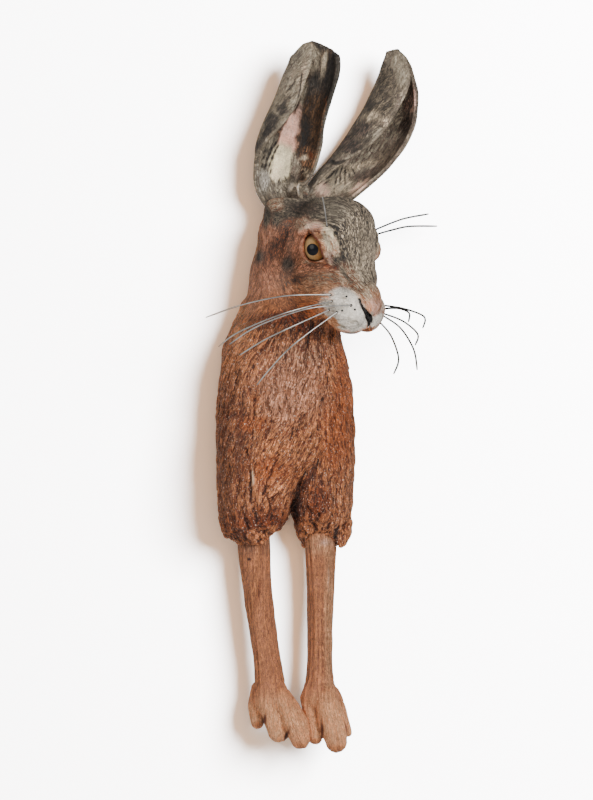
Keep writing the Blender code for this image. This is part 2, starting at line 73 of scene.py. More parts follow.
def headAxes():
    s, c = math.sin(head["turn"]), math.cos(head["turn"])
    return Matrix(((s, -c, 0), (c, s, 0), (0, 0, 1))).transposed()


def photoPlace(points):
    # where the camera sees points given in millimetres, in pixels of its frame
    perMm = view["lens"] / view["sensor"] * view["tall"] / (view["distance"] / mm + points[:, 1])
    right = view["wide"] / 2 + (points[:, 0] - view["across"] / mm) * perMm
    return right, view["tall"] / 2 - points[:, 2] * perMm


def smoothRows(rows, count):
    # the rows read at even steps along a smooth curve through them
    table = np.array(rows, float)
    last = len(table) - 1
    read = []
    for step in np.linspace(0, last, count):
        i = min(int(step), last - 1)
        t = step - i
        a, b, c, d = table[max(i - 1, 0)], table[i], table[i + 1], table[min(i + 2, last)]
        bend = (2 * a - 5 * b + 4 * c - d) * t * t + (3 * b - a - 3 * c + d) * t**3
        read.append(0.5 * (2 * b + (c - a) * t + bend))
    return np.array(read)


def bridgeRings(bm, rings):
    previous = None
    for number, ring in enumerate(rings):
        isEnd = number in (0, len(rings) - 1)
        made = bmesh.ops.create_circle(bm, segments=len(ring), radius=1, cap_ends=isEnd)
        for vert, point in zip(made["verts"], ring):
            vert.co = point
        edges = list({edge for vert in made["verts"] for edge in vert.link_edges})
        if previous:
            bmesh.ops.bridge_loops(bm, edges=previous + edges)
        previous = edges


def loft(bm, rows, place=at, power=2.5, count=28, sides=36):
    # each row: the section's middle, its height, half width, and reach in front of and behind the middle
    rings = []
    for middleA, middleB, up, half, front, back in smoothRows(rows, count):
        ring = []
        for side in range(sides):
            angle = math.tau * side / sides
            c, s = math.cos(angle), math.sin(angle)
            across = math.copysign(abs(c) ** (2 / power), c) * half
            deep = math.copysign(abs(s) ** (2 / power), s) * (front if s > 0 else back)
            if place is at:
                ring.append(place(middleA + across, middleB + deep, up))
            else:
                ring.append(place(middleA + deep, middleB + across, up))
        rings.append(ring)
    bridgeRings(bm, rings)


def ball(bm, centre, radii, axes=None, fineness=4):
    made = bmesh.ops.create_icosphere(bm, subdivisions=fineness, radius=1)
    turn = (axes or Matrix.Identity(3)).to_4x4()
    stretch = Matrix.Diagonal((*(r * mm for r in radii), 1))
    bmesh.ops.transform(bm, verts=made["verts"], matrix=Matrix.Translation(centre) @ turn @ stretch)


def tube(bm, points, radii, count=14, sides=14, rounded=True):
    read = smoothRows([(*point, radius * mm) for point, radius in zip(points, radii)], count)
    middles = [Vector(row[:3]) for row in read]
    angles = [math.tau * side / sides for side in range(sides)]
    rings = []
    for i, middle in enumerate(middles):
        along = (middles[min(i + 1, count - 1)] - middles[max(i - 1, 0)]).normalized()
        turn = along.to_track_quat("Z", "Y").to_matrix()
        rings.append([middle + turn @ Vector((math.cos(a), math.sin(a), 0)) * read[i][3] for a in angles])
    bridgeRings(bm, rings)
    if rounded:
        for middle, radius in ((middles[0], read[0][3]), (middles[-1], read[-1][3])):
            ball(bm, middle, [radius / mm] * 3, fineness=3)


def newPiece(name, bm):
    mesh = bpy.data.meshes.new(name)
    bmesh.ops.recalc_face_normals(bm, faces=bm.faces)
    bm.to_mesh(mesh)
    bm.free()
    piece = bpy.data.objects.new(name, mesh)
    bpy.context.scene.collection.objects.link(piece)
    return piece


def settle(piece):
    graph = bpy.context.evaluated_depsgraph_get()
    mesh = bpy.data.meshes.new_from_object(piece.evaluated_get(graph))
    piece.modifiers.clear()
    old, piece.data = piece.data, mesh
    bpy.data.meshes.remove(old)
    return piece


def remesh(piece, voxel, rounds):
    skin = piece.modifiers.new("skin", "REMESH")
    skin.mode = "VOXEL"
    skin.voxel_size = voxel * mm
    if rounds:
        soften = piece.modifiers.new("soften", "SMOOTH")
        soften.factor = 0.5
        soften.iterations = rounds
    return settle(piece)


def cut(piece, cutter):
    difference = piece.modifiers.new("cut", "BOOLEAN")
    difference.operation = "DIFFERENCE"
    difference.object = cutter
    settle(piece)
    bpy.data.objects.remove(cutter)


def join(name, pieces):
    bm = bmesh.new()
    for piece in pieces:
        bm.from_mesh(piece.data)
        bpy.data.objects.remove(piece)
    return newPiece(name, bm)


def thin(piece, triangles):
    piece.data.calc_loop_triangles()
    count = len(piece.data.loop_triangles)
    if count > triangles:
        decimate = piece.modifiers.new("thin", "DECIMATE")
        decimate.ratio = triangles / count
        decimate.use_collapse_triangulate = True
        settle(piece)


def readSkin(piece):
    # the mesh's points in millimetres and its normals
    count = len(piece.data.vertices)
    points, normals = np.empty(count * 3, np.float32), np.empty(count * 3, np.float32)
    piece.data.vertices.foreach_get("co", points)
    piece.data.vertices.foreach_get("normal", normals)
    return points.reshape(-1, 3).astype(float) / mm, normals.reshape(-1, 3).astype(float)


def moveSkin(piece, points):
    piece.data.vertices.foreach_set("co", (points * mm).astype(np.float32).ravel())
    piece.data.update()


def easeStep(low, high, value):
    t = np.clip((value - low) / (high - low), 0, 1)
    return t * t * (3 - 2 * t)


def blend(a, b, share):
    return a + (b - a) * share


def ovalReach(right, down, x, y, wide, tall, turn=0):
    # 0 in the middle of an oval in the photograph's frame, 1 on its edge
    c, s = math.cos(math.radians(turn)), math.sin(math.radians(turn))
    dx, dy = right - x, down - y
    return np.hypot((dx * c + dy * s) / wide, (dy * c - dx * s) / tall)


def softNoise(places, seed):
    # smooth noise from 0 to 1, one cell wide per unit
    low = np.floor(places)
    share = places - low
    share = share * share * (3 - 2 * share)
    low = low.astype(np.int64)
    total = np.zeros(len(places))
    for corner in np.ndindex(2, 2, 2):
        cell = (low + np.array(corner)).astype(np.uint64)
        mixed = cell[:, 0] * np.uint64(73856093) ^ cell[:, 1] * np.uint64(19349663)
        mixed = mixed ^ cell[:, 2] * np.uint64(83492791) ^ np.uint64(seed * 9781 + 77)
        mixed = (mixed ^ (mixed >> np.uint64(15))) * np.uint64(2246822519)
        mixed = (mixed ^ (mixed >> np.uint64(13))) * np.uint64(3266489917)
        value = ((mixed >> np.uint64(16)) & np.uint64(0xFFFF)).astype(float) / 0xFFFF
        weight = np.ones(len(places))
        for axis, side in enumerate(corner):
            weight *= share[:, axis] if side else 1 - share[:, axis]
        total += value * weight
    return total


leanStep = math.radians(10)  # fur direction is taken in turns of this much


def brushed(wrap, lean, width, length, seed):
    # noise from -0.5 to 0.5 drawn out along the fur
    low = np.floor(lean)
    share = lean - low
    total = np.zeros(len(lean))
    for turn, weight in ((low, 1 - share), (low + 1, share)):
        angle = turn * leanStep
        across = wrap[:, 0] * np.cos(angle) + wrap[:, 2] * np.sin(angle)
        along = wrap[:, 2] * np.cos(angle) - wrap[:, 0] * np.sin(angle)
        places = np.stack([across / width, wrap[:, 1] / length, along / length], 1)
        total += weight * (softNoise(places + turn[:, None] * 17.3, seed) - 0.5)
    return total / np.sqrt(share**2 + (1 - share) ** 2)


def grooves(wrap, lean, width, length, depth, seed):
    # how far brushed strokes lift each point, in millimetres
    return brushed(wrap, lean, width, length, seed) * 2 * depth


def swells(points, size, height, seed):
    # how far broad, soft noise lifts each point, in millimetres
    return (softNoise(points / size, seed) - 0.5) * height


def hollows(piece, rounds):
    # how far each point lies below (positive) or above its neighbourhood, in millimetres
    points, normals = readSkin(piece)
    count = len(points)
    ends = np.empty(len(piece.data.edges) * 2, np.int64)
    piece.data.edges.foreach_get("vertices", ends)
    a, b = ends.reshape(-1, 2).T
    near = np.bincount(a, minlength=count) + np.bincount(b, minlength=count)
    smooth = points.copy()
    for _ in range(rounds):
        total = [np.bincount(a, row[b], count) + np.bincount(b, row[a], count) for row in smooth.T]
        smooth = 0.4 * smooth + 0.6 * np.stack(total, 1) / near[:, None]
    return ((smooth - points) * normals).sum(1)


# Pigments, as they look in daylight, from 0 to 255.
pigments = {
    "umber": (50, 22, 12), "maroon": (84, 40, 24), "rust": (110, 55, 33), "fox": (220, 148, 108),
    "brown": (152, 98, 70), "blush": (200, 150, 122), "peach": (228, 166, 138), "tan": (172, 114, 82),
    "sand": (204, 156, 124), "apricot": (240, 182, 144), "fawn": (182, 122, 96), "brick": (198, 118, 78),
    "ginger": (140, 72, 42), "salmon": (172, 112, 86), "pink": (234, 194, 178), "rose": (240, 188, 168),
    "cream": (232, 213, 188), "stone": (172, 162, 145), "beige": (146, 133, 116), "mauve": (118, 102, 92),
    "grey": (88, 80, 72), "slate": (62, 57, 52), "soot": (38, 33, 30), "bark": (42, 30, 21),
    "peat": (96, 72, 52), "white": (240, 235, 226), "ivory": (255, 229, 198), "ash": (208, 202, 192),
    "black": (12, 11, 11),
}


paintStrength = 1.18  # the studio's film pales strong colours, so the paint is mixed a little stronger


def linear(name):
    shade = np.array(pigments[name]) / 255
    shade = np.where(shade <= 0.04045, shade / 12.92, ((shade + 0.055) / 1.055) ** 2.4)
    grey = shade @ np.array((0.21, 0.72, 0.07))
    return np.clip(grey + (shade - grey) * paintStrength, 0.002, 0.9)


def paint(right, down, base, strokes):
    ground, hairs = (np.tile(linear(name), (len(right), 1)) for name in base[:2])
    return paintOver(right, down, (ground, hairs, np.full(len(right), base[2])), strokes)


plainStroke = (0.5, 0.6)  # how much hair shows and how soft the edge is, where a stroke doesn't say


def paintOver(right, down, layer, strokes):
    # Brush strokes laid one over another. A layer of paint has a ground, hairs, and how much hair shows.
    ground, hairs, amount = layer
    for x, y, wide, tall, turn, groundName, hairName, *given in strokes:
        show, soft = (*given, *plainStroke[len(given) :])
        cover = 1 - easeStep(1 - soft, 1 + soft, ovalReach(right, down, x, y, wide, tall, turn))
        ground = blend(ground, linear(groundName), cover[:, None])
        hairs = blend(hairs, linear(hairName), cover[:, None])
        amount = blend(amount, show, cover)
    return ground, hairs, amount


def tint(layer, ground, hairs, share):
    # lays one colour over the ground and one over the hairs, as far as the share says
    return blend(layer[0], ground, share[:, None]), blend(layer[1], hairs, share[:, None]), layer[2]


def mixLayers(first, second, share):
    shares = share[:, None], share[:, None], share
    return tuple(blend(a, b, part) for a, b, part in zip(first, second, shares))


def giveAttribute(piece, name, values):
    # one, three or four numbers at each point
    values = np.asarray(values, np.float32).reshape(len(piece.data.vertices), -1)
    kinds = {1: ("FLOAT", "value"), 3: ("FLOAT_VECTOR", "vector"), 4: ("FLOAT_COLOR", "color")}
    kind, key = kinds[values.shape[1]]
    made = piece.data.attributes.new(name, kind, "POINT")
    made.data.foreach_set(key, values.ravel())


def guidedLean(right, down, guides, reach):
    # The fur's slant at each place, blended from the guides, in steps. A slant has no head or tail, so the
    # average is taken of doubled angles.
    total = np.zeros((len(right), 2))
    for x, y, slant in guides:
        weight = np.exp(-((right - x) ** 2 + (down - y) ** 2) / reach**2) + 1e-9
        angle = math.radians(slant) * 2
        total += weight[:, None] * np.array([math.cos(angle), math.sin(angle)])
    return np.arctan2(total[:, 1], total[:, 0]) / 2 / leanStep


# The body

bodyForms = {
    # across, out, up, half width, reach in front, reach behind
    "chest": (at, 2.7, [
        (1.0, 20, 70, 32, 24, 24), (0.6, 20, 50, 38.0, 30, 24), (-0.8, 20, 36, 41.8, 33, 24),
        (-0.8, 20, 20, 45.2, 36, 24), (-0.1, 20, 0, 48.2, 38, 24), (0.0, 20, -20, 48.0, 37, 24),
        (0.2, 20, -40, 47.0, 34, 24), (0.6, 20, -54, 44.0, 28, 24), (1.0, 20, -66, 38.0, 22, 24)]),
    "nearThigh": (at, 2.5, [
        (-10, 24, 16, 30, 26, 28), (-12, 24, -18, 35.0, 35, 28), (-14.5, 24, -42, 33.2, 38.5, 28),
        (-17.5, 24, -58, 29.6, 38, 28), (-20.0, 24, -70, 26.6, 36, 28), (-21.8, 24, -80, 24.0, 33, 26),
        (-24.0, 24, -88.5, 20.4, 29, 24), (-26.4, 24, -95.5, 15.6, 23, 18),
        (-25.0, 24, -100.5, 11.4, 16, 13)]),
    "farThigh": (at, 2.4, [
        (22, 20, 22, 20, 24, 24), (24.0, 20, -8, 23.6, 30, 24), (24.8, 20, -42, 23.6, 31, 24),
        (25.4, 20, -66, 22.2, 30, 24), (26.0, 20, -80, 19.8, 27.5, 22), (26.2, 20, -91, 17.8, 20, 20),
        (26.2, 21, -98, 15.4, 11.5, 16), (25.6, 22, -103.5, 11.6, 9, 13)]),
    "neck": (at, 2.3, [
        (13.6, 24, 142, 26, 17, 22), (13.2, 24, 134, 28.6, 22, 27), (12.4, 24.5, 118, 29.8, 27, 28),
        (10.0, 25, 102, 32.6, 31, 28), (10.0, 25, 86, 35.2, 34, 28), (8.2, 24, 72, 35.8, 34, 28),
        (4.6, 23, 60, 37.4, 32, 27), (0.6, 21, 45, 39.2, 30, 25)]),
    # forward, left, up, half width, reach in front, reach behind
    "face": (headAt, 2.2, [
        (-8, 0, 27, 20, 18, 22), (-6, 0, 13, 24, 26, 26), (0, 0, 0, 19, 24, 24), (5, 0, -14, 15.5, 20.5, 21),
        (7, 0, -26, 14, 19.5, 20), (9, 0, -36, 12, 19, 19), (8, 0, -48, 10, 15, 16)]),
}
headBalls = [  # forward, left, up, and the three radii
    ((-10, 0, 9.0), (33, 28, 27)), ((-30, 0, 2), (30, 27, 30)), ((-5, 0, 15), (28, 25, 21)),
    ((7, 0, -50.5), (15, 11.5, 9.6)), ((-10, 13.5, -24), (28, 14.5, 26)), ((-10, -13.5, -24), (28, 14.5, 26)),
    ((11.6, 9.8, -44), (16, 12, 15.5)), ((11.6, -9.8, -44), (16, 12, 15.5)),
]
noseTip = ((23.4, 0, -36), (9.6, 8.8, 12.2))
nape = ((9, 30, 113), (29, 26, 28.4))  # across, out, up, and the three radii
earGap = ((11.6, 25, 145.5), (8, 6, 7.5))  # closes the gap between the ears' roots
legStumps = {"across": (-22.4, 25.2), "out": 23, "top": -60, "bottom": -88, "radii": (10, 9)}
bodyDetail = {
    "softVoxel": 1.7, "crispVoxel": 1.0, "finishVoxel": 0.85, "triangles": 196000,
    "locks": (8.0, 28.0, 1.05),  # width, length and height
    # width, length, depth and seed of the brushed grooves
    "strokes": (1.8, 9, 0.46, 3), "fine": (1.3, 8, 0.26, 4), "clumps": (5.0, 22, 0.75, 9),
    "swells": (13, 1.3, 8), "furSwells": (6, 1.1, 10),  # size, height and seed
    "curls": 0.9,
    "base": ("rust", "fox", 0.5),  # ground, hairs, and how much hair shows
}
limits = {  # what gives way to what between which two heights, or depths from the wall, in millimetres
    "fur": (66, 46), "furDepth": (2, 10), "hem": (-60, -92), "carvedHead": (50, 70), "paintedHead": (60, 72),
    "mirror": (58, 68), "engraved": (70, 48), "toolDepth": (10, 24), "carvedDepth": (0.6, 2.0),
    "back": (6, 1),
}
paintOvals = {  # x, y, half width, half height
    "muzzle": (350, 312, 36, 34), "eyelids": (314, 248, 18, 22), "pad": (352, 314, 30, 24),
}
lidDetail = {
    "brow": [(-10.2, 10.4, 2.4), (-1.0, 14.4, 3.2), (8.4, 11.6, 2.6), (13.0, 3.2, 1.4), (14.3, -6.3, -1.0)],
    "browRadii": [2.6, 3.6, 4.2, 4.2, 3.0],
    "rim": 0.7, "rimWiden": 0.6, "rimProud": 1.5,
}


def eyeFrame(side):
    # side -1 is the eye that shows in the photograph
    forward, left, up = eye["place"]
    centre = headAt(forward, left * side, up)
    ahead, leftwards, _ = (Vector(axis) for axis in headAxes().transposed())
    looks = ahead * math.sin(eye["looksForward"]) + leftwards * side * math.cos(eye["looksForward"])
    toNose = (ahead - looks * ahead.dot(looks)).normalized()
    return centre, Matrix((toNose, Vector((0, 0, 1)), looks)).transposed()


def openingEdge(count, grow=0.0):
    # the almond between the lids, as points round it
    knots = eye["opening"]
    table = sorted((math.atan2(up, across) % math.tau, math.hypot(across, up)) for across, up in knots)
    angles, reaches = np.array(table).T
    edge = []
    for angle in np.arange(count) * math.tau / count:
        reach = np.interp(angle, angles, reaches, period=math.tau) + grow
        edge.append(Vector((math.cos(angle), math.sin(angle), 0)) * reach * mm)
    return edge


def onLid(edge, proud):
    # a point of the almond, lifted to just above the ball
    reach = (eye["radius"] + eye["gap"] + proud) * mm
    return edge + Vector((0, 0, math.sqrt(max(reach**2 - edge.length**2, 0))))


def lidForms(bm):
    for side in (-1, 1):
        centre, axes = eyeFrame(side)
        ball(bm, centre, [eye["radius"] + eye["gap"] + eye["lid"]] * 3)
        brow = [centre + axes @ Vector(knot) * mm for knot in lidDetail["brow"]]
        tube(bm, brow, lidDetail["browRadii"], count=20)
        edge = openingEdge(40, lidDetail["rimWiden"])
        rim = [centre + axes @ onLid(point, lidDetail["rimProud"]) for point in edge + edge[:1]]
        tube(bm, rim, [lidDetail["rim"]] * len(rim), count=100, sides=8)


def socketCutter(side):
    centre, axes = eyeFrame(side)
    radius = (eye["radius"] + eye["gap"]) * mm
    edge = openingEdge(60)
    # rings from the back of the ball outwards: round at first, then no narrower than the lids' opening
    levels = [(-radius, 0.12 * radius, False)]
    for degrees in range(-75, 76, 10):
        reach = radius * math.sin(math.radians(degrees))
        levels.append((reach, radius * math.cos(math.radians(degrees)), degrees > 20))
    levels.append((3 * radius, 0, True))
    rings = []
    for reach, width, isOpen in levels:
        out = Vector((0, 0, reach))
        widths = [max(width, point.length if isOpen else 0) for point in edge]
        rings.append([centre + axes @ (point.normalized() * wide + out) for point, wide in zip(edge, widths)])
    bm = bmesh.new()
    bridgeRings(bm, rings)
    return newPiece("socketCutter", bm)


def seenFrom(surface, x, y):
    # where the camera's line through a place of its frame meets a surface
    focal = view["lens"] / view["sensor"] * view["tall"]
    line = Vector(((x - view["wide"] / 2) / focal, 1, (view["tall"] / 2 - y) / focal)).normalized()
    return surface.ray_cast(Vector((view["across"], -view["distance"], 0)), line)[0]


def surfaceOf(piece):
    bm = bmesh.new()
    bm.from_mesh(piece.data)
    surface = BVHTree.FromBMesh(bm)
    bm.free()
    return surface


nostril = [  # x and y in the photograph, and half the slit's width in millimetres
    (359.2, 299.0, 0.25), (361.2, 304.0, 0.5), (363.8, 309.0, 0.85), (366.4, 313.6, 1.3), (368.8, 317.8, 1.9),
    (369.8, 321.8, 1.6), (368.8, 325.4, 0.8),
]


hiddenNostril = {"knots": 4, "outwards": 1.8, "inwards": 2.2}


def nostrilRoute(side, surface):
    # the slit that shows, or the start of its partner on the hidden side
    ahead, leftwards, _ = (Vector(axis) for axis in headAxes().transposed())
    route = [seenFrom(surface, x, y) for x, y, _ in nostril]
    if side < 0:
        return route
    aside = (leftwards * hiddenNostril["outwards"] - ahead * hiddenNostril["inwards"]) * mm
    middle = at(*head["centre"])
    shown = route[: hiddenNostril["knots"]]
    return [spot - leftwards * 2 * (spot - middle).dot(leftwards) + aside for spot in shown]


def nostrilCutter(route):
    bm = bmesh.new()
    tube(bm, route, [half + 0.35 for _, _, half in nostril[: len(route)]], count=20, rounded=False)
    return newPiece("nostrilCutter", bm)


def nostrilShade(points, route):
    # 1 within the nostril's slit, 0 away from it
    rows = smoothRows([(*spot / mm, half) for spot, (_, _, half) in zip(route, nostril)], 30)
    near = np.min([np.sqrt(((points - row[:3]) ** 2).sum(1)) - row[3] for row in rows], axis=0)
    return easeStep(1.05, 0.65, near)


hemLines = [  # ragged lower edges of the fur in the photograph, and how many crumbs of clay lie along each
    ([(222, 522), (224, 531), (230, 536), (238, 542), (252, 541), (266, 540), (274, 537), (281, 527),
      (290, 513)], 110),
    ([(293, 512), (297, 523), (301, 533), (304.5, 542), (308, 534), (316, 531), (325, 530), (334, 523)], 90),
    ([(350, 512), (350, 522), (348, 532), (345, 540), (342, 543)], 22),
    ([(232, 520), (248, 526), (262, 524), (276, 516), (286, 505)], 60),
    ([(300, 515), (312, 520), (326, 518)], 34),
]
hiddenHems = [  # the same round the sides and back: across, out, half width, half depth, up
    (-26.4, 24, 13.0, 18.0, -97.0), (26.0, 21, 13.6, 15.0, -101.0),
]
looseLock = {"knots": [(40.6, 24, -62), (41.2, 28, -82), (40.6, 30, -94), (39.4, 30, -101)],
             "radii": [4.2, 4.9, 4.6, 3.4]}


def hemTufts(bm, surface):
    # ragged curls of clay along the lower edge of the fur, and one loose lock on the right
    dice = np.random.default_rng(5)
    for line, count in hemLines:
        read = smoothRows(line, 60)
        for _ in range(count):
            x, y = read[dice.integers(len(read))] + dice.normal(0, 1.5, 2)
            size = dice.uniform(0.6, 1.35)
            spot = seenFrom(surface, x, y)
            if spot and spot.y < -20 * mm:
                radii = size * dice.uniform(0.8, 1.3), size, size * dice.uniform(0.8, 1.8)
                ball(bm, spot, radii, fineness=2)
    for across, out, halfWidth, halfDepth, up in hiddenHems:
        for _ in range(40):
            angle, lower = dice.uniform(math.pi * 0.95, math.pi * 2.05), dice.uniform(-3.0, 7.0)
            size = dice.uniform(0.9, 2.0)
            grow = 1.0 + 0.03 * lower + dice.uniform(-0.03, 0.04)
            side, front = math.cos(angle) * halfWidth * grow, math.sin(angle) * halfDepth * grow
            radii = size * 0.85, size * 0.85, size * dice.uniform(1.0, 1.7)
            ball(bm, at(across + side, out + front, up + lower), radii, fineness=2)
    tube(bm, [at(*knot) for knot in looseLock["knots"]], looseLock["radii"], count=12)


# Which way the fur lies in the photograph: x, y and its slant to the right of straight down, in degrees.
bodyGuides = [
    (240, 350, -35), (262, 345, -25), (285, 345, -12), (310, 345, -5), (337, 350, 8), (232, 390, -20),
    (250, 382, -15), (275, 385, -10), (300, 385, -12), (318, 378, -25), (338, 378, 22), (225, 430, -12),
    (245, 430, -8), (265, 430, -14), (285, 430, -25), (305, 430, -28), (322, 432, -4), (336, 430, 20),
    (350, 440, 12), (225, 470, -6), (245, 470, -3), (262, 480, -8), (285, 475, -32), (305, 465, -35),
    (318, 480, -5), (335, 480, 10), (350, 480, 4), (230, 512, 0), (250, 510, 2), (270, 505, -15),
    (285, 500, -30), (300, 515, 10), (318, 515, 0), (335, 515, 4), (348, 520, 0), (246, 320, -38),
    (270, 322, -35), (300, 325, -20), (325, 330, -5), (240, 285, -16), (252, 300, -28), (258, 262, -24),
    (246, 240, -14), (345, 212, 42), (365, 226, 26), (326, 210, 55), (300, 205, 74), (278, 210, 96),
    (262, 222, 10), (372, 250, 8), (358, 262, 16), (368, 285, 16), (350, 245, 30), (344, 262, 44),
    (350, 282, 36), (374, 305, 10), (322, 218, 62), (296, 224, -56), (284, 238, -36), (276, 256, -34),
    (290, 262, -40), (264, 246, -30), (340, 236, 28), (338, 252, 20), (328, 270, 88), (308, 270, -78),
    (322, 284, 84), (300, 288, 80), (342, 278, 60), (282, 284, 44), (270, 276, 40), (286, 302, 50),
    (306, 304, 66), (268, 296, 30), (340, 306, 80), (345, 325, 84),
]
flecks = [  # short dabs in the pale corner of the eye
    (325, 232), (330, 237), (323, 240), (332, 244), (326, 247), (334, 239), (329, 252), (332, 257),
    (327, 259),
]
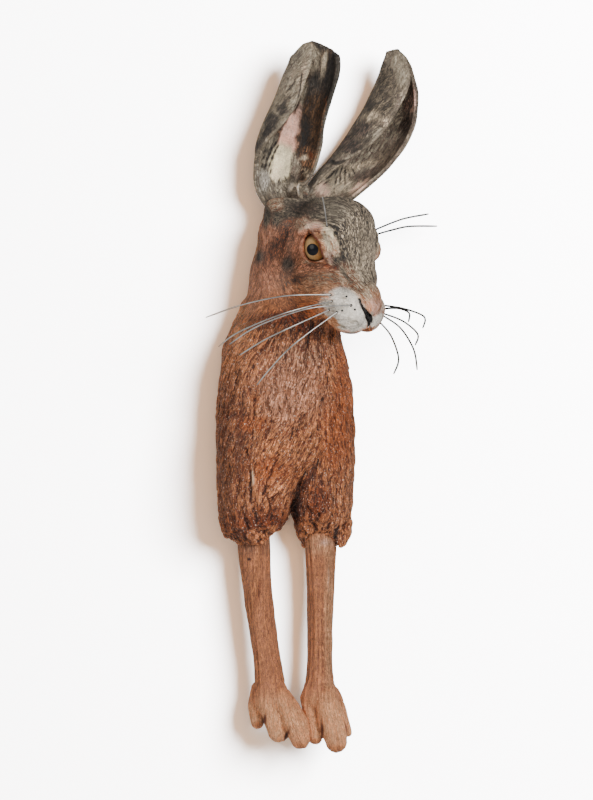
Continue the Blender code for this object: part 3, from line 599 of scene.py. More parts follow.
# x, y, half width, half height, turn, ground, hairs; then how much hair and how soft an edge, if not as plain
bodyStrokes = [
    (287, 392, 32, 38, 0, "brown", "peach", 0.56), (314, 362, 12, 12, 0, "brown", "peach", 0.6),
    (306, 352, 26, 12, 0, "rust", "blush", 0.5, 0.8), (345, 400, 10, 56, 0, "ginger", "brick", 0.6, 0.5),
    (226, 440, 10, 78, 0, "rust", "tan"), (241, 445, 7, 46, 0, "rust", "brown", 0.5, 0.7),
    # the umber stroke at (300, 325) is painted shadow under the chin
    (236, 345, 13, 32, 14, "brown", "fox"), (300, 325, 46, 12, 0, "umber", "tan", 0.5, 0.7),
    (300, 448, 22, 34, 25, "rust", "fox", 0.6), (268, 455, 12, 30, 8, "rust", "fox", 0.58, 0.7),
    (334, 440, 12, 34, 0, "ginger", "brick", 0.55, 0.7), (252, 424, 14, 7, 0, "ginger", "brick", 0.55, 0.7),
    (270, 470, 22, 12, 0, "ginger", "brick", 0.55, 0.8),
    # the umber stroke at (308, 480) and the maroon one at (318, 508) are painted shade in the cleft between
    # the thighs and its set-back recess
    (308, 480, 3.6, 24, 28, "umber", "rust", 0.35, 0.7), (318, 508, 13, 26, 0, "maroon", "ginger", 0.6),
    (328, 366, 4.4, 12, -10, "maroon", "fox", 0.45, 0.7), (254, 368, 4, 6, 0, "maroon", "fox", 0.45, 0.7),
    (255, 400, 6, 10, 0, "ginger", "fox", 0.5, 0.7), (254, 438, 1.6, 18, 4, "maroon", "fox", 0.4, 0.8),
    (252.6, 478, 1.1, 9, 0, "sand", "cream"), (250.6, 486, 1.0, 14, 0, "umber", "maroon", 0.3),
    (262, 524, 40, 16, -4, "maroon", "ginger", 0.6, 0.7), (328, 534, 24, 14, 0, "rust", "fox", 0.5, 0.7),
    # the umber stroke at (298, 506) is painted shadow in the crotch, and the one at (336, 534) is painted
    # shade in the gap between the loose lock and the leg
    (268, 536, 16, 7, 0, "rust", "fox", 0.5, 0.7), (298, 506, 6, 15, 0, "umber", "maroon", 0.45),
    (336, 534, 1.6, 14, -8, "umber", "maroon", 0.3),
    # neck and cheeks
    (284, 296, 56, 32, 0, "brown", "fox", 0.55, 0.35), (244, 298, 15, 42, 10, "sand", "fox", 0.66, 0.5),
    (320, 250, 70, 56, 0, "brown", "peach", 0.6, 0.15), (257, 276, 9, 34, 8, "tan", "peach", 0.72),
    (266, 280, 8, 17, 10, "salmon", "peach", 0.45), (286, 279, 9, 9, 0, "mauve", "salmon", 0.45),
    (318, 285, 32, 13, 0, "brown", "sand"), (328, 278, 24, 6, 0, "brown", "beige", 0.45, 0.8),
    # the umber strokes at (280, 318) and (304, 327) are painted shadow under the jaw
    (300, 302, 34, 9, 4, "brown", "tan", 0.5, 0.7), (280, 318, 34, 8, -10, "umber", "ginger", 0.5, 0.8),
    (304, 327, 18, 8, 30, "umber", "ginger", 0.45, 0.7), (318, 312, 18, 7, 14, "ginger", "brick", 0.6),
    # crown, forehead and bridge of the nose
    (318, 206, 60, 14, -2, "grey", "stone", 0.32, 0.3), (352, 232, 34, 38, 10, "slate", "cream", 0.2, 0.3),
    (364, 266, 17, 40, -8, "grey", "cream", 0.42, 0.35), (332, 211, 20, 12, 0, "grey", "stone", 0.46, 0.5),
    (303, 208, 17, 7, 0, "slate", "mauve", 0.3), (280, 219, 14, 10, 14, "slate", "beige", 0.34, 0.5),
    (284, 236, 7, 16, 26, "slate", "salmon", 0.4), (272, 252, 7, 16, 38, "slate", "salmon", 0.5, 0.7),
    (292, 222, 8, 5, 0, "mauve", "salmon", 0.45, 0.7), (293, 244, 5, 16, 10, "mauve", "peach", 0.5, 0.7),
    (262, 238, 6, 22, 14, "salmon", "peach", 0.64), (254, 250, 5, 18, 12, "brown", "sand", 0.55, 0.7),
    (267, 216, 4, 14, 10, "slate", "beige", 0.34, 0.5), (275, 204, 8, 6, 0, "salmon", "cream", 0.5, 0.5),
    (300, 190, 16, 9, 0, "mauve", "stone", 0.45, 0.3), (306, 194, 2.6, 3, 0, "ginger", "rust", 0.4),
    # round the eye
    (301, 242, 8, 22, 10, "salmon", "peach", 0.62, 0.45), (311, 225, 12, 5.5, 6, "pink", "cream", 0.5, 0.5),
    (300, 225, 6, 5, -30, "salmon", "cream"), (298, 261, 8, 8, 0, "tan", "peach"),
    (314, 267, 16, 4.5, 4, "brown", "peach", 0.5, 0.5),
    (313, 262.4, 10, 1.9, 6, "sand", "cream", 0.45, 0.4), (317, 230, 6, 5, 30, "salmon", "pink", 0.4, 0.5),
    (329, 241, 7.6, 17, -22, "cream", "ivory", 0.5, 0.3), (317, 228.5, 6, 3.6, 10, "peach", "pink"),
    (324.6, 250, 2.6, 13, -20, "salmon", "sand", 0.55), (318.5, 235, 3, 6, -38, "tan", "sand"),
    (330, 256, 4.6, 6, -20, "pink", "cream", 0.5, 0.5), (336, 250, 3, 9, -20, "tan", "cream"),
    (339, 261, 8, 6.5, -20, "slate", "beige", 0.3, 0.5), (338, 267, 9, 3, 0, "slate", "rust", 0.4),
    (327, 265, 4, 3, 40, "rust", "salmon", 0.4), (287.5, 264, 7.2, 8.2, 0, "grey", "mauve", 0.42),
    (300, 278, 12, 3.6, -28, "slate", "brown", 0.4), (286, 286, 5, 3, -20, "grey", "brown", 0.45),
    (313, 286, 3, 2.4, 0, "grey", "brown", 0.4), (259.5, 257, 4.5, 7, 20, "slate", "mauve", 0.42, 0.7),
    # the soot dot at (335, 233.6) is painted shade in an empty whisker hole
    (335, 233.6, 1.7, 1.7, 0, "soot", "soot", 0.2, 0.4), (337.6, 240, 0.8, 6.5, -26, "grey", "slate", 0.4),
    *((x, y, 1.2, 2.0, -24, "brown", "cream", 0.5, 0.8) for x, y in flecks),
    # nose
    (374, 248, 3.4, 28, -4, "mauve", "pink"), (350, 280, 8, 15, -28, "brown", "cream"),
    (345, 274, 2, 12, -34, "grey", "beige", 0.4, 0.7), (357, 270, 3, 16, -26, "grey", "cream", 0.5, 0.7),
    (371, 302, 13, 14, 0, "salmon", "sand", 0.5, 0.4), (366, 294, 8, 9, 20, "brown", "cream"),
    (376, 308, 6, 9, 0, "tan", "pink"),
    # muzzle
    (343.5, 309, 18.6, 22, -20, "white", "ash", 0.35, 0.12),
    (355, 318, 14, 14.5, 0, "white", "ash", 0.3, 0.15), (342, 330, 9, 4, -34, "tan", "sand"),
    # the grey strokes low on the pad and on its left are painted shade under its curve and from the wires,
    # over some grey brush streaks; the mauve line along its lower edge is painted shade
    (377, 322, 9, 8, 0, "white", "ash", 0.3, 0.2), (344, 324, 12, 7, 24, "ash", "white", 0.35, 0.8),
    (331, 308, 4, 9, -10, "ash", "mauve", 0.4, 0.7), (350, 303, 5, 9, -30, "ash", "white", 0.5, 0.8),
    (327, 297, 6, 5, -20, "ash", "fox", 0.45, 0.7), (327, 304, 6, 4, 0, "stone", "white", 0.5, 0.7),
    (341, 327, 13, 4.5, 14, "stone", "white", 0.5, 0.8), (352, 322, 8, 2.4, 30, "stone", "white", 0.5, 0.8),
    (346, 300, 2.4, 6, -30, "beige", "white", 0.5, 0.8), (338, 316, 2.0, 6, 60, "beige", "white", 0.5, 0.8),
    (342, 333.4, 13, 2.4, 6, "mauve", "pink", 0.5, 0.8),
    (329.6, 321.4, 17, 3.8, 44, "tan", "sand", 0.5, 0.4),
]


def headMirror(points):
    # points on the head's hidden side, as they would be on the side that shows; and how much they need it
    leftwards = np.array(headAxes().transposed()[1])
    left = (points - np.array(head["centre"]) * (1, -1, 1)) @ leftwards
    mirrored = points - 2 * np.maximum(left, 0)[:, None] * leftwards
    return mirrored, easeStep(*limits["mirror"], points[:, 2]) * (left > 0)


def bodySkin(points):
    # where the camera sees the points, the fur's coordinates round the body and down it, and its slant
    right, down = photoPlace(points)
    middle = np.interp(points[:, 2], [-100, 0, 50, 140], [0, 0, 4, 30])
    front = np.interp(points[:, 2], [-100, 0, 50, 90, 140], [-50, -60, -55, -80, -50])
    wrap = points.copy()
    wrap[:, 0] += np.tanh((points[:, 0] - middle) / 12) * (points[:, 1] - front) * 0.7
    return right, down, wrap, guidedLean(right, down, bodyGuides, 13)


def furShare(points):
    # 1 on the coarse fur, 0 on the head and the flat back
    return easeStep(*limits["fur"], points[:, 2]) * easeStep(*limits["furDepth"], -points[:, 1])


def lockField(points, wrap, lean):
    # tiled locks of fur: how high each point is on its lock, and the slant of the lock that it is on
    width, length, height = bodyDetail["locks"]
    fade = furShare(points)
    dice = np.random.default_rng(11)
    order = dice.permutation(np.flatnonzero(fade > 0.05))
    tileWidth, tileHeight = width * 0.8, length * 0.3
    row = np.floor(wrap[order, 2] / tileHeight).astype(int)
    place = np.floor(wrap[order, 0] / tileWidth + 0.5 * (row % 2)).astype(int)
    _, first = np.unique(row * 1000 + place, return_index=True)  # one root in each tile
    roots = order[first]
    slants = lean[roots] * leanStep + dice.normal(0, 0.09, len(roots))
    sizes = dice.uniform(0.7, 1.3, len(roots))
    down = np.stack([np.sin(slants), np.zeros(len(roots)), -np.cos(slants)], 1)
    best = np.full(len(points), -1.0)
    owner = np.zeros(len(points), int)
    rows = np.flatnonzero(fade > 0)
    batch = 5000  # points reckoned at a time, to spare memory
    for start in range(0, len(rows), batch):
        part = rows[start : start + batch]
        offset = points[part][:, None, :] - points[roots][None]
        along = (offset * down[None]).sum(2)
        across = np.sqrt(np.maximum((offset**2).sum(2) - along**2, 0)) / (width * sizes / 2)[None]
        along = along / (length * sizes)[None]
        taper = np.clip(1.02 - np.abs(along * 2) ** 3, 0.02, 1)
        bump = (1 - (across / taper) ** 2) * 0.7 + along * 0.9 + (sizes[None] - 1) * 0.6
        bump = np.where((across < taper) & (np.abs(along) < 0.5), bump, -1.0)
        best[part] = bump.max(1)
        owner[part] = bump.argmax(1)
    lift = np.clip(best, -0.7, 1.2) * height * fade
    return lift, np.where(best > -1, slants[owner] / leanStep, lean)


toolMarks = [  # marks of the modelling tool: x, y, half width, half height, turn, and how far each lifts
    (251, 483, 1.6, 16, -2, -2.2), (252.5, 437, 1.2, 20, 4, -0.9), (256, 400, 7, 9, 0, 1.3),
    (255, 400, 2.6, 4.5, 10, -1.6), (254, 368, 5, 7, 0, 1.0), (253, 367, 2, 3, 0, -1.4),
    (246, 385, 2, 12, -12, 0.9), (329, 369, 1.8, 10, -12, -0.8), (334, 372, 2.4, 13, -14, 0.9),
    (324, 366, 2.4, 11, 10, 0.8), (335, 234, 2.0, 2.2, 0, -1.5), (337.5, 240, 1.2, 6, -30, -0.8),
    (347, 425, 1.6, 14, -16, -1.2), (262, 512, 6, 6, 0, 1.2), (280, 514, 5, 5, 0, 1.3),
    (270, 526, 4, 5, 0, 1.2), (246, 520, 5, 6, 0, 1.0),
]
calmPlaces = {  # ovals where the engraving is shallow: x, y, half width, half height, fade, share
    "pad": ((352, 314, 32, 26), (1.1, 0.8), 0.8),
    "nearEye": ((314, 247, 14, 20), (1.2, 0.8), 1.0),
    "farEye": ((377, 248, 7, 15), (1.2, 0.8), 1.0),
}


def furrow(points, wrap, lean, right, down):
    # how far the carving lifts each point of the body, in millimetres
    fur = furShare(points)
    hem = easeStep(*limits["hem"], points[:, 2]) * fur
    onHead = easeStep(*limits["carvedHead"], points[:, 2])
    lift, lean = lockField(points, wrap, lean)
    ovals = calmPlaces.values()
    calm = sum(easeStep(*fade, ovalReach(right, down, *oval)) * share for oval, fade, share in ovals)
    calm = 1 - np.clip(calm, 0, 1)
    strokes = grooves(wrap, lean, *bodyDetail["strokes"]) * (fur + 0.3 * onHead + 0.3 * hem)
    fine = grooves(wrap, lean, *bodyDetail["fine"]) * (fur + 0.8 * onHead)
    broad = swells(points, *bodyDetail["swells"]) + swells(points, *bodyDetail["furSwells"]) * fur
    broad += grooves(wrap, lean, *bodyDetail["clumps"]) * (fur + 0.2)
    curls = softNoise(points / (2.4, 2.4, 3.2), 61) + softNoise(points / (4.4, 4.4, 6), 62) - 1
    marks = sum(mark[5] * np.exp(-(ovalReach(right, down, *mark[:5]) ** 2) * 1.2) for mark in toolMarks)
    lift += curls * 2 * bodyDetail["curls"] * hem + (strokes + fine) * calm + broad * (0.35 + 0.65 * calm)
    depth = -points[:, 1]
    return (lift + marks * easeStep(*limits["toolDepth"], depth)) * easeStep(*limits["carvedDepth"], depth)


def buildBody():
    bm = bmesh.new()
    for place, power, rows in bodyForms.values():
        loft(bm, rows, place=place, power=power)
    for centre, radii in headBalls:
        ball(bm, headAt(*centre), radii, headAxes())
    ball(bm, at(*nape[0]), nape[1])
    for across in legStumps["across"]:  # inside the skirt, for the legs to run on from
        ends = [at(across, legStumps["out"], legStumps[end]) for end in ("top", "bottom")]
        tube(bm, ends, legStumps["radii"], count=6)
    body = remesh(newPiece("soft", bm), bodyDetail["softVoxel"], 9)
    bm = bmesh.new()
    lidForms(bm)
    hemTufts(bm, surfaceOf(body))
    ball(bm, headAt(*noseTip[0]), noseTip[1], headAxes())
    ball(bm, at(*earGap[0]), earGap[1])
    body = remesh(join("hareBody", [body, newPiece("details", bm)]), bodyDetail["crispVoxel"], 3)
    surface = surfaceOf(body)
    routes = [nostrilRoute(side, surface) for side in (-1, 1)]
    for side, route in zip((-1, 1), routes):
        cut(body, nostrilCutter(route))
        cut(body, socketCutter(side))
    remesh(body, bodyDetail["finishVoxel"], 2)
    print("body remeshed:", len(body.data.vertices), "points")
    points, normals = readSkin(body)
    right, down, wrap, lean = bodySkin(points)
    points += normals * furrow(points, wrap, lean, right, down)[:, None]
    points[:, 1] = np.minimum(points[:, 1], 0)  # the flat back stays on the wall
    moveSkin(body, points)
    thin(body, bodyDetail["triangles"])
    return body, routes


def finishSkin(piece, wrap, lean, layer, engrave, small, streaks, pits=1.0, shine=0.0):
    # what the clay's material reads at each point
    thinner = (1 + brushed(wrap, lean, 2.6, 12, 71) * streaks)[:, None]
    hollow = np.clip(hollows(piece, 6) * 1.5 + hollows(piece, 24) * 0.35, -1, 1) * pits
    shine, engrave, small = (np.full(len(wrap), values) for values in (shine, engrave, small))
    ground = np.column_stack((layer[0] * thinner, shine))
    hairs = np.column_stack((layer[1] * thinner, layer[2]))
    skin = {"wrap": wrap, "lean": lean, "ground": ground, "hairs": hairs}
    skin.update(hollow=hollow, engrave=engrave, small=small)
    for name, values in skin.items():
        giveAttribute(piece, name, values)
    piece.data.shade_smooth()


def ragged(right, down, points, wrap, lean, reach):
    # paint edges break up along the hairs
    across = swells(points, 5, 0.8, 21) + brushed(wrap, lean, 1.5, 6, 22)
    below = swells(points, 5, 0.8, 23) + brushed(wrap, lean, 1.5, 6, 24) * 1.6
    return right + across * reach, down + below * reach


def linedStrokes():
    # dark lines that follow the eye's opening
    centre, axes = eyeFrame(-1)
    strokes = []
    for edge in openingEdge(90):
        x, y = photoPlace(np.array([centre + axes @ onLid(edge, 1)]) / mm)
        isDark = edge.x > -3 * mm and edge.y > -8 * mm
        wide, line = (1.9, "maroon") if isDark else (1.3, "tan")
        strokes.append((x[0], y[0], wide, wide, 0, line, "rust", 0.3, 0.5))
    return strokes


def paintBody(body, routes):
    points, _ = readSkin(body)
    right, down, wrap, lean = bodySkin(points)
    _, lockLean = lockField(points, wrap, lean)
    depth = -points[:, 1]
    onHead = easeStep(*limits["paintedHead"], points[:, 2])
    mirrored, share = headMirror(points)
    far = photoPlace(mirrored)
    # paint is laid more finely round the muzzle and the eye
    muzzle, eyelids = (ovalReach(*far, *paintOvals[name]) for name in ("muzzle", "eyelids"))
    fine = np.maximum(easeStep(1.1, 0.8, muzzle), easeStep(1.2, 0.8, eyelids))
    reach = 5 - 2.2 * onHead - 2.5 * onHead * fine
    strokes = bodyStrokes + linedStrokes()
    layers = [
        paint(*ragged(*seen, points, wrap, lean, reach), bodyDetail["base"], strokes)
        for seen in ((right, down), far)
    ]
    layer = mixLayers(*layers, share)
    # the far side of the neck, hidden behind the muzzle, takes none of its white
    behind = easeStep(64, 54, depth) * easeStep(318, 326, right) * easeStep(286, 294, down)
    layer = tint(layer, linear("brown"), linear("fox"), behind * easeStep(346, 338, down))
    slit = np.maximum(*(nostrilShade(points, route) for route in routes))
    layer = tint(layer, linear("black"), linear("black"), slit)
    back = easeStep(*limits["back"], depth)
    layer = tint(layer, linear("brown") * 0.8, linear("brown"), back)
    pad = easeStep(1.1, 0.7, ovalReach(right, down, *paintOvals["pad"]))
    dark = easeStep(0.05, 0.01, layer[0].sum(1))
    onFur = easeStep(*limits["engraved"], points[:, 2])
    engrave = np.clip(onFur * 0.3 + 0.7 - 0.55 * pad - 0.5 * dark, 0.05, 1)
    engrave *= (1 - back * 0.6) * (1 - 0.35 * easeStep(0.4, 0.6, layer[0].mean(1)))
    small = onHead * (1 - 0.4 * easeStep(255, 285, down) * easeStep(345, 330, right))
    shine = np.clip(dark + 0.12 * pad, 0, 1)
    streaks = 0.45 + 0.25 * onHead
    finishSkin(body, wrap, lockLean, layer, engrave=engrave, small=small, streaks=streaks, shine=shine)


# The ears

ears = {
    # across, out, up, half width, half depth, wrap on the viewer's left, wrap on the right
    "nearEar": {"rows": [
        (1.0, 30, 137, 11, 10, 88, 90), (-4.4, 31, 152, 15.6, 11, 96, 92),
        (-0.1, 32, 168, 20.6, 11, 112, 92), (4.0, 33, 184, 21.2, 10.5, 150, 92),
        (10.2, 34, 204, 18.3, 10, 174, 94), (16.6, 35, 222, 17.6, 9, 176, 98),
        (20.8, 36, 237, 16.6, 7.5, 176, 100), (18.6, 36, 253, 13.0, 3.5, 176, 100)],
        "opening": ((-0.15, 1, 0), (-0.1, 1, 0.1)), "tipDrop": ((0.09, 2.4), (0.1, 1))},
    "farEar": {"rows": [
        (22, 24, 134, 9.5, 13.5, 66, 150), (33, 23, 149, 10.5, 15.4, 66, 156),
        (44.0, 22, 160, 11.0, 17.0, 80, 162), (58.6, 22, 176, 11.0, 19.8, 102, 166),
        (70.8, 23, 194, 10.5, 20.2, 112, 168), (77.0, 24, 212, 9.5, 17.2, 128, 170),
        (78.6, 25, 228, 7.5, 12.2, 160, 172), (77.4, 26, 239, 5.2, 8.0, 172, 172),
        (75.2, 26, 246.8, 2.4, 2.6, 172, 172)],
        "opening": ((0.75, 0.5, -0.5), (0.9, 0.42, 0.1)), "tipDrop": ((0, 1), (0, 1))},
}
earDetail = {
    "thickness": 3.3, "voxel": 0.7, "triangles": 90000,
    "strokes": (2.4, 14, 0.22, 31), "fine": (1.3, 7, 0.125, 32), "wobble": (12, 0.8, 33),
    "base": ("grey", "beige", 0.42), "marks": ("soot", "slate", 0.2), "marksGrow": (1.3, 1.15),
    "ragged": 3.0,  # how far the paint's edges break up, in pixels of the photograph
}
earMarks = {  # crisp marks, painted last: where, half width and length, slant
    # painted shadow line beneath the curled rim of the flap
    ("nearEar", "outside"): [
        (301.6, 78, 0.7, 5, 8), (300.2, 87, 0.7, 5, 9), (298.6, 96, 0.7, 5, 10), (296, 104, 0.6, 4, 20),
    ],
    ("nearEar", "inside"): [
        (275.4, 143, 1.1, 3.0, 30), (271.6, 148, 1.2, 3.4, 34), (275.6, 151, 1.0, 3.0, 26),
        (269.6, 153.6, 1.2, 3.2, 30), (264.8, 151, 1.0, 2.6, 36), (272.8, 157.6, 1.1, 3.0, 20),
        (267.6, 158.6, 1.1, 3.2, 30), (263.6, 158, 0.9, 2.6, 30), (269.4, 165, 1.0, 3.0, 20),
        (265.2, 166, 1.0, 3.0, 24), (278, 147, 0.8, 2.2, 30), (262, 165.6, 0.8, 2.4, 20),
        (271, 172, 0.7, 2.4, 10), (286, 179, 0.6, 3.0, -30), (292, 176, 0.6, 3.4, -40),
        (279, 181, 0.6, 2.8, 20),
    ],
    # painted shadow line beneath the fold where the flap curls over
    ("farEar", "outside"): [
        (333, 160.8, 0.9, 2.6, -70), (338, 162.4, 1.1, 3.4, -80), (344, 162.8, 1.1, 3.6, 88),
        (350.5, 161.2, 1.0, 3.6, 66), (357, 157.6, 0.9, 3.8, 58), (364, 153.4, 0.8, 4.2, 58),
        (372, 149.2, 0.7, 4.4, 64), (380, 146, 0.6, 4, 70),
    ],
    ("farEar", "inside"): [
        (333, 173, 0.7, 4.6, 40), (337, 171, 0.7, 5.0, 26), (341, 170.6, 0.8, 5.0, 14),
        (345, 171.6, 0.8, 4.4, 4), (336, 181, 0.7, 3.6, 20), (340, 179, 0.7, 4.2, 8),
        (344.6, 180, 0.6, 3.6, -6), (329, 177, 0.7, 4, 50), (349, 174, 0.6, 4, -10),
        (326, 183, 0.6, 3.4, 50), (354, 172, 0.5, 4, -30), (320, 183, 0.6, 3, 60),
    ],
}
earStrokes = {
    ("nearEar", "outside"): [
        (280, 96, 40, 70, 22, "beige", "stone", 0.36, 0.2),
        (338, 90, 18, 60, 12, "soot", "slate", 0.3, 0.3), (297, 56, 5, 10, 24, "grey", "stone", 0.5, 0.7),
        (289, 74, 3.5, 15, 22, "mauve", "stone", 0.5, 0.7),
        (303, 74, 3, 16, 12, "mauve", "cream", 0.5, 0.7),
        (291, 86, 1.8, 13, 36, "slate", "beige", 0.35, 0.5), (286, 100, 2.4, 10, 30, "grey", "beige", 0.4),
        (283, 109, 6, 6, 0, "slate", "grey", 0.3, 0.45), (273, 121, 8, 8, 30, "slate", "grey", 0.3, 0.4),
        (267, 132, 5, 9, 30, "soot", "grey", 0.25, 0.45), (281, 125, 5, 5, -30, "beige", "stone"),
        (274, 135, 7, 2.6, -36, "grey", "beige", 0.4), (259, 146, 4, 9, 20, "slate", "grey", 0.3),
        (255, 164, 3, 14, 6, "slate", "beige", 0.4), (257, 182, 4, 9, 0, "stone", "mauve", 0.4),
    ],
    ("nearEar", "inside"): [
        (304, 110, 60, 90, 0, "bark", "peat", 0.4, 0.2), (304, 50, 9, 8, 0, "stone", "cream", 0.4, 0.5),
        (314, 60, 6, 15, 4, "beige", "stone", 0.5, 0.4), (314, 64, 2.4, 5, 0, "grey", "beige", 0.35),
        (323, 66, 2.6, 15, 6, "stone", "cream", 0.5, 0.4), (315, 85, 7, 12, 6, "slate", "grey", 0.3, 0.5),
        # the soot and black strokes high on the right of the hollow, at (333, 74) and (331, 97), are painted
        # shade on the inner face of the ear's far wall; the dark browns lower down are its fur
        (333, 74, 8, 30, 14, "soot", "slate", 0.25, 0.3), (321, 45, 9, 5, 30, "soot", "grey", 0.3, 0.5),
        (331, 97, 4, 14, 14, "black", "soot", 0.3), (314, 124, 14, 32, 8, "bark", "peat", 0.5, 0.35),
        (305, 132, 5, 18, 6, "black", "bark", 0.3), (303.5, 96, 2.4, 12, 14, "beige", "stone", 0.4, 0.5),
        (298, 111, 3, 7, 22, "mauve", "pink", 0.5, 0.5), (326, 102, 1.2, 4, 6, "bark", "brown", 0.4, 0.7),
        (290, 131, 7.4, 21, 22, "pink", "rose", 0.4, 0.3), (287, 145, 9.5, 9, 0, "rose", "rose", 0.3, 0.3),
        (266, 160, 10, 26, 16, "stone", "grey", 0.4, 0.3),
        (281.5, 163, 12, 19, 10, "ivory", "ivory", 0.3, 0.25),
        (277, 172, 7.5, 9, 0, "ivory", "cream", 0.3, 0.3), (309, 158, 8, 9, 0, "bark", "sand", 0.42),
        (304, 157, 4, 2.4, 0, "cream", "beige"), (311, 155, 2.0, 2.6, 0, "rust", "brown", 0.4, 0.8),
        (306, 172, 3, 4, 0, "bark", "cream", 0.45, 0.7), (295, 167, 5, 13, 0, "mauve", "stone", 0.45, 0.5),
        (282, 188, 24, 8, 0, "stone", "grey", 0.5, 0.5), (263, 180, 6, 11, 0, "ash", "grey", 0.45),
        (296, 189, 6, 5, 0, "cream", "white", 0.4),
    ],
    ("farEar", "outside"): [
        (380, 110, 80, 90, 0, "grey", "beige", 0.42, 0.2), (415, 112, 8, 40, 0, "mauve", "grey", 0.4, 0.4),
        (392, 168, 34, 10, -42, "mauve", "grey", 0.4, 0.4), (398, 62, 9, 8, 0, "beige", "stone", 0.55),
        (388, 58, 4, 6, 0, "mauve", "stone"), (388, 72, 7, 5, 20, "slate", "beige", 0.4),
        (403, 76, 7, 9, 0, "beige", "stone", 0.55), (384, 86, 7, 8, 30, "slate", "beige", 0.42),
        (380, 104, 12, 9, 10, "slate", "beige", 0.36, 0.4), (370, 107, 5, 6, 0, "slate", "grey", 0.4, 0.5),
        (369, 116, 10, 4, -30, "beige", "cream", 0.55), (402, 104, 6, 10, 20, "mauve", "stone"),
        (388, 124, 8, 6, 0, "mauve", "cream", 0.45), (362, 129, 9, 9, 40, "slate", "mauve", 0.38, 0.5),
        (350, 145, 11, 9, 40, "slate", "mauve", 0.35, 0.5),
        (374, 134, 9, 5, -35, "grey", "stone", 0.5, 0.7), (346, 158, 14, 4, -16, "mauve", "stone"),
        (374, 144, 10, 4, -32, "beige", "stone", 0.55), (394, 137, 5, 7, 24, "pink", "cream", 0.5, 0.45),
        (316, 171, 18, 4.5, -42, "mauve", "stone", 0.45, 0.5),
        # the two soot lines are painted shadow beneath the fold where the flap curls over
        (340, 161.4, 12, 1.5, 0, "soot", "slate", 0.2), (366, 152.4, 14, 1.3, -26, "soot", "slate", 0.2),
    ],
    ("farEar", "inside"): [
        (370, 140, 90, 90, 0, "mauve", "stone", 0.5, 0.2),
        (336, 180, 20, 14, 0, "stone", "cream", 0.5, 0.4),
        (362, 165, 16, 3.6, -16, "beige", "cream", 0.55, 0.5),
        (366, 175, 18, 4.4, -16, "mauve", "grey", 0.4, 0.5),
        (360, 187, 11, 4, -34, "pink", "cream", 0.4, 0.5),
        (388, 156, 14, 12, -45, "mauve", "beige", 0.45, 0.4),
        (392, 165, 8, 4, -40, "grey", "mauve", 0.4, 0.5), (403, 145, 7, 7, 35, "mauve", "grey", 0.45),
        # the bark stroke at (408, 125) is painted shade inside the rolled tube of the ear
        (408, 125, 6.5, 13, 22, "bark", "mauve", 0.2, 0.4), (412, 106, 6, 7, 15, "mauve", "pink", 0.3, 0.5),
        (415, 97, 4, 12, -8, "mauve", "pink", 0.45, 0.5), (314, 178, 8, 4, -40, "mauve", "stone", 0.4),
        (307, 192, 3.5, 6, 0, "ginger", "rust", 0.4, 0.5), (322, 190, 7, 6, 0, "pink", "cream", 0.5, 0.7),
    ],
}


def earLeaf(name):
    # the leaf of clay before it is thick: a grid rolled round the ear's spine
    steps, sides = 60, 44
    form = ears[name]
    read = smoothRows(form["rows"], steps + 1)
    spine = [at(*row[:3]) for row in read]
    rootOpen, tipOpen = (Vector((a, -o, u)).normalized() for a, o, u in form["opening"])
    bm = bmesh.new()
    bmesh.ops.create_grid(bm, x_segments=sides, y_segments=steps, size=1)
    placed = {}
    for vert in bm.verts:
        roll, share = vert.co.x, (vert.co.y + 1) / 2
        side = 0 if roll < 0 else 1
        tipAngle = math.radians(form["rows"][-1][5 + side]) * roll
        drop, power = form["tipDrop"][side]
        share *= 1 - 0.02 * abs(roll) ** 4 - drop * abs(math.sin(tipAngle)) ** power
        step = min(share * steps, steps - 1e-6)
        i = int(step)
        row = blend(read[i], read[i + 1], step - i)
        centre = spine[i].lerp(spine[i + 1], step - i)
        along = (spine[min(i + 2, steps)] - spine[max(i - 1, 0)]).normalized()
        opens = rootOpen.lerp(tipOpen, share)
        opens = (opens - along * opens.dot(along)).normalized()
        angle, girth = math.radians(row[5 + side]) * roll, row[3] + row[4]
        # across and along the unrolled leaf, and how far the rim is, in millimetres
        placed[vert.index] = (angle * girth / 2, share * 125, (1 - abs(roll)) * girth * 1.2)
        out = along.cross(opens) * math.sin(angle) * row[3] - opens * math.cos(angle) * row[4]
        vert.co = centre + out * mm
    bm.normal_update()
    bm.faces.ensure_lookup_table()
    behind = spine[steps // 2] - opens * 9 * mm
    middle = min(bm.faces, key=lambda face: (face.calc_center_median() - behind).length)
    if middle.normal.dot(opens) > 0:  # the leaf's normals point out of the ear, not into it
        bmesh.ops.reverse_faces(bm, faces=bm.faces)
    return bm, placed


def leafPlaces(bm, placed, points):
    # where on the unrolled leaf each point is, which face of it the point is on, and how far the free rim is
    bm.verts.ensure_lookup_table()
    bm.verts.index_update()
    bm.faces.ensure_lookup_table()
    tree = BVHTree.FromBMesh(bm)
    wrap = np.zeros((len(points), 3))
    rim = np.zeros(len(points))
    for number, point in enumerate(points):
        spot, normal, index, _ = tree.find_nearest(Vector(point) * mm)
        total, weights = np.zeros(3), 0
        for vert in bm.faces[index].verts:
            weight = 1 / ((vert.co - spot).length + 1e-5)
            total += np.array(placed[vert.index]) * weight
            weights += weight
        side = 1 if (Vector(point) * mm - spot).dot(normal) > 0 else -1
        wrap[number] = total[0] / weights, side, total[1] / weights
        rim[number] = total[2] / weights
    return wrap, rim


def paintEar(name, seen, right, down):
    # the layers of paint on the ear's outer and inner face
    near = [blend(plain, rough, 0.4) for plain, rough in zip((right, down), seen)]
    growWide, growTall = earDetail["marksGrow"]
    layers = []
    for face in ("outside", "inside"):
        marks = []
        for x, y, wide, tall, turn in earMarks[name, face]:
            marks.append((x, y, wide * growWide, tall * growTall, turn, *earDetail["marks"]))
        layers.append(paintOver(*near, paint(*seen, earDetail["base"], earStrokes[name, face]), marks))
    return layers


